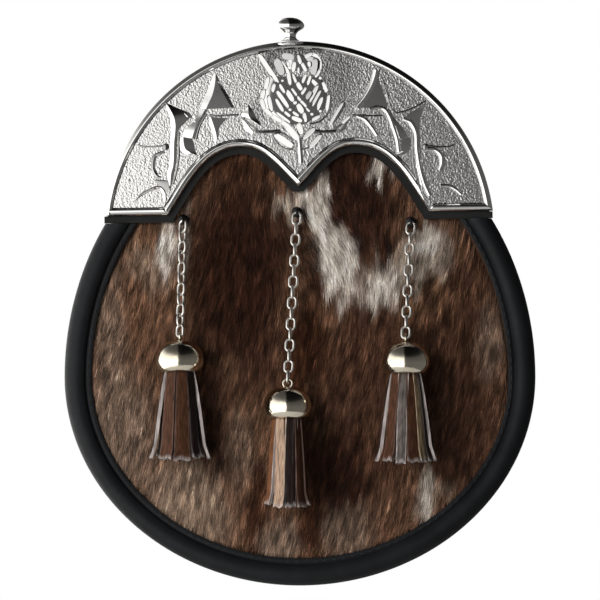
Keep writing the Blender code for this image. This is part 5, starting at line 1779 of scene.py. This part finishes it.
@dataclass
class Tassel:
    """An eye, a chain, a bell cap and the strips that hang from it."""

    side: Side
    eye: Span
    links: int
    cap_x: float
    foot_depth: float
    strips: tuple[StripLook, ...]
    standoff: float = 0.9 * MM
    washer: Span = (2.3 * MM, 0.9 * MM)
    eye_stand: float = 1.2 * MM
    first_link_stand: float = 1.35 * MM
    eye_radius: float = 1.7 * MM
    eye_wire: float = 0.5 * MM
    link_length: float = 6.3 * MM
    link_width: float = 4.6 * MM
    link_turn: float = math.radians(8.0)
    wire: float = 0.60 * MM
    pitch: float = 4.6 * MM
    tilt: float = math.radians(4.5)
    cap_radius: float = 10.3 * MM
    cap_height: float = 13.4 * MM
    mouth: float = 8.2 * MM
    top_radius: float = 2.6 * MM
    cap_wall: float = 1.0 * MM
    loop_radius: float = 1.9 * MM
    clearance: float = 0.8 * MM
    rest: float = 0.6
    belly: float = 0.68
    foot_fall: float = 1.6
    cap_steps: int = 22
    crowding: float = 1.35
    lip: float = 0.25 * MM
    loop_sink: float = 0.35 * MM
    gap: float = 0.3 * MM
    plug: Profile = ((0.02, -3.4), (4.6, -3.6), (5.8, -5.0), (5.8, -10.5), (4.0, -11.5), (0.02, -11.6))
    strip_lines: int = 40
    strip_columns: int = 8
    strip_root: float = 5.0 * MM
    strip_inset: float = 2.5 * MM
    strip_thickness: float = 1.5 * MM
    thinning: float = 0.25
    root_width: float = 4.6
    flare: float = 0.75
    cup: float = 0.5 * MM
    curl: float = 0.9 * MM
    curl_from: float = 0.86
    curl_run: float = 0.14
    curl_middle: float = 0.35
    wave: float = 0.5 * MM
    wave_turn: float = 4.0
    pale_edge: Span = (0.80, 0.12)
    pale_end: tuple[float, float, float] = (0.965, 0.03, 0.6)
    pale_back: float = 0.12

    def ends(self) -> tuple[Vector, Vector]:
        """The middles of the chain's top and bottom wires."""
        x, z = self.eye
        stand = float(FORM.hair_y(x, z)) - self.standoff - self.washer[1] - self.first_link_stand
        start = Vector((x, stand, z - self.gap))
        apex = self.link_length / 2.0 - self.wire
        length = self.pitch * (self.links - 1) + 2.0 * apex
        end_z = z - length
        end = start
        for _ in range(20):
            middle_z = end_z - self.cap_height * self.rest
            y = float(FORM.hair_y(self.cap_x, middle_z)) - self.cap_radius - self.clearance
            mouth_y = y + math.sin(self.tilt) * self.cap_height * self.rest
            reach = Vector((self.cap_x, mouth_y, end_z)) - start
            end = start + reach.normalized() * length
            end_z = end.z
        return start, end

    def make_eye(self) -> None:
        """A small washer on the hide with a wire loop in front of it."""
        radius, thick = self.washer
        profile = ((POLE, 0.0), (radius, 0.0), (radius, 0.35 * MM), (radius * 0.88, 0.75 * MM),
                   (radius * 0.6, thick), (POLE, thick))
        washer = turned("washer", profile, 28)
        washer.data.transform(Matrix.Rotation(math.pi / 2.0, 4, "X"))
        loop = wire_ring("loop", self.eye_radius, self.eye_wire)
        loop.data.transform(Matrix.Translation((0.0, -thick - self.eye_stand, 0.0)) @ QUARTER_TURN)
        eye = joined("eye", [washer, loop])
        x, z = self.eye
        eye.data.transform(Matrix.Translation((x, float(FORM.hair_y(x, z)) - self.standoff, z)))
        self.finished(eye, "eye", "_fine", BLACK_METAL, 50.0)

    def make_chain(self) -> None:
        """The links, each turned a quarter from the last."""
        start, end = self.ends()
        down = (end - start).normalized()
        side = square_to(Vector((1.0, 0.0, 0.0)), down)
        depth = side.cross(-down).normalized()
        apex = self.link_length / 2.0 - self.wire
        link = wire_ring("link", self.link_width / 2.0 - self.wire, self.wire,
                         (self.link_length - self.link_width) / 2.0)
        matrices = []
        for index in range(self.links):
            middle = start + down * (apex + self.pitch * index)
            turn = self.link_turn + math.pi / 2.0 * (index % 2)
            across = side * math.cos(turn) + depth * math.sin(turn)
            through = side * math.sin(turn) - depth * math.cos(turn)
            matrices.append(placed_on(middle, (across, through, -down)))
        self.finished(many("chain", link, matrices), "chain", "_links", CHAIN_NICKEL, 80.0)

    def cap_frame(self) -> Matrix:
        """The cap's own frame: its origin on top of the dome, tilted with the front."""
        end = self.ends()[1]
        rise = 2.0 * self.loop_radius - (self.wire + self.eye_wire + 2.0 * self.gap)
        top = end - Vector((0.0, 0.0, rise - self.loop_sink))
        return Matrix.Translation(top) @ Matrix.Rotation(-self.tilt, 4, "X")

    def radius_at(self, part: float) -> float:
        """The cap's radius at a part of its height."""
        if part < self.belly:
            angle = math.acos(1.0 - part / self.belly)
            return self.top_radius + (self.cap_radius - self.top_radius) * math.sin(angle)
        fall = (part - self.belly) / (1.0 - self.belly)
        return self.cap_radius - (self.cap_radius - self.mouth) * fall ** self.foot_fall

    def make_cap(self) -> None:
        """The bell, a thin shell with a beaded foot and a wire loop."""
        parts = [(step / self.cap_steps) ** self.crowding for step in range(self.cap_steps + 1)]
        outer = [(self.radius_at(part), -self.cap_height * part) for part in parts[:-1]]
        inner = [(self.radius_at(part) - self.cap_wall,
                  -self.cap_wall - (self.cap_height - self.cap_wall) * part) for part in parts[1:-1]]
        foot = [(self.mouth, -self.cap_height + self.lip),
                (self.mouth - self.cap_wall * 0.5, -self.cap_height),
                (self.radius_at(1.0) - self.cap_wall, -self.cap_height)]
        shell = turned("cap", [(POLE, 0.0), *outer, *foot, *inner[::-1], (POLE, -self.cap_wall)], 64)
        loop = wire_ring("loop", self.loop_radius, self.eye_wire)
        loop.data.transform(Matrix.Translation((0.0, 0.0, self.loop_radius - self.loop_sink)))
        if self.links % 2 == 1:
            loop.data.transform(QUARTER_TURN)
        cap = joined("cap", [shell, loop])
        cap.data.transform(self.cap_frame())
        self.finished(cap, "cap", "_bell", NICKEL, 50.0)

    def across(self, corner: Array) -> tuple[Array, Array]:
        """Whether corners of a strip's section lie on its front, and how far across, from -1 to 1."""
        columns = self.strip_columns
        front = corner < columns
        return front, np.where(front, corner, 2 * columns - 1 - corner) / (columns - 1) * 2.0 - 1.0

    def strip(self, look: StripLook) -> Piece:
        """One strip: a ribbon that leaves the cap, hangs, and curls a little at its pale end."""
        round_it = 2 * self.strip_columns
        angle = math.radians(look.angle)
        top = Vector((math.cos(angle), math.sin(angle), 0.0)) * self.strip_root
        foot = Vector((look.foot_x * MM, math.sin(angle) * self.foot_depth, 0.0))
        mouth_z = -self.cap_height + self.strip_inset

        def place(u: Array, v: Array) -> Array:
            """Lay the ribbon: u goes round its section and v down it."""
            front, share = self.across(cell(u, round_it) % round_it)
            flare = v ** self.flare
            half_width = (self.root_width * MM * (1.0 - v) + look.foot_width * MM * v) / 2.0
            thick = self.strip_thickness * (1.0 - self.thinning * v)
            turn = angle + math.radians(look.twist) * v
            out_x, out_y = np.cos(turn), np.sin(turn)
            push = np.where(front, thick / 2.0, -thick / 2.0) - self.cup * share ** 2 * v
            curl = self.curl * np.maximum(0.0, v - self.curl_from) / self.curl_run
            out = push + curl * (self.curl_middle + np.abs(share))
            wave = self.wave * np.cos(share * self.wave_turn + look.angle)
            return rows(top.x + (foot.x - top.x) * flare - out_y * share * half_width + out_x * out,
                        top.y + (foot.y - top.y) * flare + out_x * share * half_width + out_y * out,
                        mouth_z - look.drop * MM * v - wave * v)

        ribbon = laid_sheet("strip", round_it, self.strip_lines, place)
        front, share = self.across(np.tile(np.arange(round_it + 1), self.strip_lines + 1) % round_it)
        v = np.repeat(np.arange(self.strip_lines + 1) / self.strip_lines, round_it + 1)
        edge_from, edge_run = self.pale_edge
        end_from, end_run, end_most = self.pale_end
        edge = np.clip((np.abs(share) - edge_from) / edge_run, 0.0, 1.0) * np.where(share < 0.0, *look.edges)
        end = np.clip((v - end_from) / end_run, 0.0, end_most)
        pale = np.maximum(np.maximum(edge, end), np.where(front, 0.0, self.pale_back))[:, None]
        add_tones(ribbon, "tone", np.array(look.tone) * (1.0 - pale) + np.array(SUEDE) * pale)
        return close_seams(ribbon)

    def make_strips(self) -> None:
        """All strips, and the round plug that they are fixed to inside the cap."""
        plug = turned("plug", in_metres(self.plug), 24)
        add_tones(plug, "tone", np.tile(np.array(UMBER) * 0.4, (len(plug.data.vertices), 1)))
        strips = joined("strips", [plug] + [self.strip(look) for look in self.strips])
        strips.data.transform(self.cap_frame())
        self.finished(strips, "strips", "_hide", STRIP, 60.0)

    def finished(self, piece: Piece, part: str, ending: str, finish: Finish, angle: float) -> None:
        """Dress one part of the tassel, which stands for its own node."""
        node = f"tassel_{part}_{self.side.value}"
        dressed(piece, node + ending, finish, angle, node)

    def build(self) -> None:
        """Make the tassel from the top down."""
        self.make_eye()
        self.make_chain()
        self.make_cap()
        self.make_strips()


SUEDE: Colour = (0.37, 0.33, 0.32)
STRIP_BROWN: Colour = (0.050, 0.0205, 0.0105)
STRIP_RED: Colour = (0.110, 0.046, 0.021)
STRIP_DARK: Colour = (0.016, 0.010, 0.009)
STRIP_GREY: Colour = (0.085, 0.071, 0.065)
STRIP_CREAM: Colour = (0.30, 0.205, 0.145)
STRIP_TAN: Colour = (0.21, 0.155, 0.095)
PALE_LEFT, PALE_RIGHT, PALE_BOTH = (0.9, 0.0), (0.0, 0.9), (0.8, 0.8)
LEFT_STRIPS = tuple(StripLook(*row) for row in (
    (-174, -11.4, 3.6, 38.5, STRIP_DARK, 0, PALE_RIGHT), (-124, -5.4, 6.4, 39.5, STRIP_BROWN),
    (-78, 1.2, 7.0, 40.0, STRIP_BROWN), (-44, 6.8, 4.0, 39.0, STRIP_DARK),
    (-6, 11.8, 3.6, 39.0, STRIP_DARK, 0, PALE_LEFT), (30, 8.0, 6.4, 38.0, STRIP_DARK),
    (90, 0.5, 7.0, 38.5, STRIP_DARK), (150, -7.5, 6.4, 38.0, STRIP_DARK)))
MIDDLE_STRIPS = tuple(StripLook(*row) for row in (
    (-155, -8.0, 3.2, 38.5, STRIP_RED, 12, PALE_RIGHT),
    (-114, -3.6, 4.6, 40.0, STRIP_CREAM, 0, (0.0, 0.4)), (-84, 0.2, 2.8, 40.0, STRIP_DARK),
    (-66, 2.2, 2.0, 39.5, STRIP_DARK, 0, PALE_RIGHT), (-40, 5.6, 5.0, 39.5, STRIP_BROWN),
    (-10, 8.2, 4.0, 38.5, STRIP_BROWN), (35, 5.2, 5.2, 38.0, STRIP_DARK), (90, 0.2, 5.4, 38.5, STRIP_DARK),
    (145, -5.0, 5.2, 38.0, STRIP_DARK)))
RIGHT_STRIPS = tuple(StripLook(*row) for row in (
    (-174, -11.6, 3.8, 39.0, STRIP_DARK, 0, PALE_RIGHT), (-130, -7.2, 5.0, 39.5, STRIP_BROWN),
    (-98, -2.2, 4.2, 40.5, STRIP_GREY, 0, PALE_BOTH), (-68, 2.9, 5.2, 40.0, STRIP_BROWN),
    (-42, 7.0, 3.8, 39.5, STRIP_TAN), (-22, 9.4, 2.6, 39.0, STRIP_DARK),
    (-6, 11.8, 3.8, 39.0, STRIP_DARK, 0, PALE_LEFT), (60, 4.0, 7.0, 38.0, STRIP_DARK),
    (130, -5.5, 7.0, 38.0, STRIP_DARK)))


# ---------------------------------------------------------------- the studio

@dataclass
class Studio:
    """A white studio: a pale floor, a bright side from the left, and the camera."""

    floor_radius: float = 0.3
    floor_z: float = -0.32
    camera_distance: float = 2.0
    aim_y: float = -0.03
    camera_z: float = -63.8 * MM
    frame_height: float = 255.3 * MM
    sensor: float = 36.0
    light_place: tuple[float, float, float] = (-0.9, -1.0, 0.35)
    light_size: float = 0.5
    light_power: float = 16.0
    light_colour: Colour = (1.0, 0.98, 0.95)
    room_colour: tuple[float, float, float, float] = (1.0, 0.985, 0.96, 1.0)
    from_left: Profile = ((0.0, 1.9), (0.40, 2.0), (0.430, 1.7), (0.460, 0.15), (0.60, 0.12), (1.0, 0.13))
    from_below: Profile = ((0.0, 1.0), (0.50, 1.0), (0.60, 0.85), (0.72, 0.62), (0.80, 0.13), (0.88, 0.05),
                           (1.0, 0.03))

    def floor(self) -> None:
        """The pale floor."""
        deselect_all()
        bpy.ops.mesh.primitive_circle_add(vertices=96, radius=self.floor_radius, fill_type="NGON",
                                          location=(0.0, 0.0, self.floor_z))
        ground = bpy.context.object
        bpy.ops.object.transform_apply(location=True)
        ground.name = "floor"
        pale = FinishDesk("pale_floor", Base_Color=(0.9, 0.9, 0.9, 1.0), Roughness=0.7)
        ground.data.materials.append(pale.material)

    def world(self) -> None:
        """White behind the object; round it a bright left side and a dim right side."""
        world = bpy.data.worlds.new("studio")
        bpy.context.scene.world = world
        world.use_nodes = True
        desk = Desk(world.node_tree)
        desk.tree.nodes.clear()
        parts = desk.node("SeparateXYZ", {"Vector": desk.node("TexCoord").outputs["Generated"]})
        around = desk.node("Math", {0: self.ramp(desk, parts.outputs["X"], self.from_left),
                                    1: self.ramp(desk, parts.outputs["Z"], self.from_below)},
                           operation="MULTIPLY")
        lit = desk.node("Background", {"Color": self.room_colour, "Strength": around.outputs[0]})
        white = desk.node("Background", {"Color": (1.0, 1.0, 1.0, 1.0), "Strength": 1.0})
        seen = desk.node("LightPath").outputs["Is Camera Ray"]
        choice = desk.node("MixShader", {0: seen, 1: lit.outputs[0], 2: white.outputs[0]})
        desk.node("OutputWorld", {"Surface": choice.outputs[0]})

    @staticmethod
    def ramp(desk: Desk, value: Socket, stops: Profile) -> Socket:
        """Brightness along one direction, from -1 to 1."""
        spread = desk.node("MapRange", {"Value": value, "From Min": -1.0, "From Max": 1.0})
        curve = desk.node("FloatCurve", {"Value": spread.outputs["Result"]})
        line = curve.mapping.curves[0]
        top = max(level for _, level in stops)
        line.points[0].location = (stops[0][0], stops[0][1] / top)
        line.points[1].location = (stops[-1][0], stops[-1][1] / top)
        for where, level in stops[1:-1]:
            line.points.new(where, level / top)
        for knot in line.points:
            knot.handle_type = "VECTOR"
        curve.mapping.update()
        return desk.node("Math", {0: curve.outputs[0], 1: top}, operation="MULTIPLY").outputs[0]

    def light(self) -> None:
        """A soft square light from the upper left, aimed at the middle of the pouch."""
        lamp = bpy.data.lights.new("key", "AREA")
        lamp.size = self.light_size
        lamp.energy = self.light_power
        lamp.color = self.light_colour
        holder = linked("key", lamp)
        holder.location = self.light_place
        aim = Vector((0.0, self.aim_y, self.camera_z)) - Vector(self.light_place)
        holder.rotation_euler = aim.to_track_quat("-Z", "Y").to_euler()
        holder.visible_glossy = False

    def camera(self) -> None:
        """The camera in front of the pouch."""
        lens = bpy.data.cameras.new("camera")
        lens.sensor_width = self.sensor
        lens.lens = self.sensor * self.camera_distance / self.frame_height
        holder = linked("camera", lens)
        holder.location = (0.0, self.aim_y - self.camera_distance, self.camera_z)
        holder.rotation_euler = (math.pi / 2.0, 0.0, 0.0)
        bpy.context.scene.camera = holder

    def build(self) -> None:
        """Set everything up."""
        self.camera()
        self.floor()
        self.world()
        self.light()
        bpy.context.scene.view_settings.view_transform = "Standard"


def main() -> None:
    """Build every part in order."""
    logging.basicConfig(level=logging.INFO, format="%(name)s: %(message)s")
    Studio().build()
    builders = [Gusset(), BackPanel(), Binding(), Coat(), Backing(), CantleRim(), CantleField(),
                CantleRelief(), Knob(),
                Tassel(Side.LEFT, (-49.8 * MM, -29.6 * MM), 11, -50.8 * MM, 8.4 * MM, LEFT_STRIPS,
                       link_turn=math.radians(40.0)),
                Tassel(Side.MIDDLE, (-1.3 * MM, -26.4 * MM), 16, -5.2 * MM, 7.2 * MM, MIDDLE_STRIPS),
                Tassel(Side.RIGHT, (47.2 * MM, -30.6 * MM), 11, 44.6 * MM, 8.4 * MM, RIGHT_STRIPS)]
    for builder in builders:
        LOG.info("building %s", type(builder).__name__)
        builder.build()
    deselect_all()


if __name__ == "__main__":
    main()
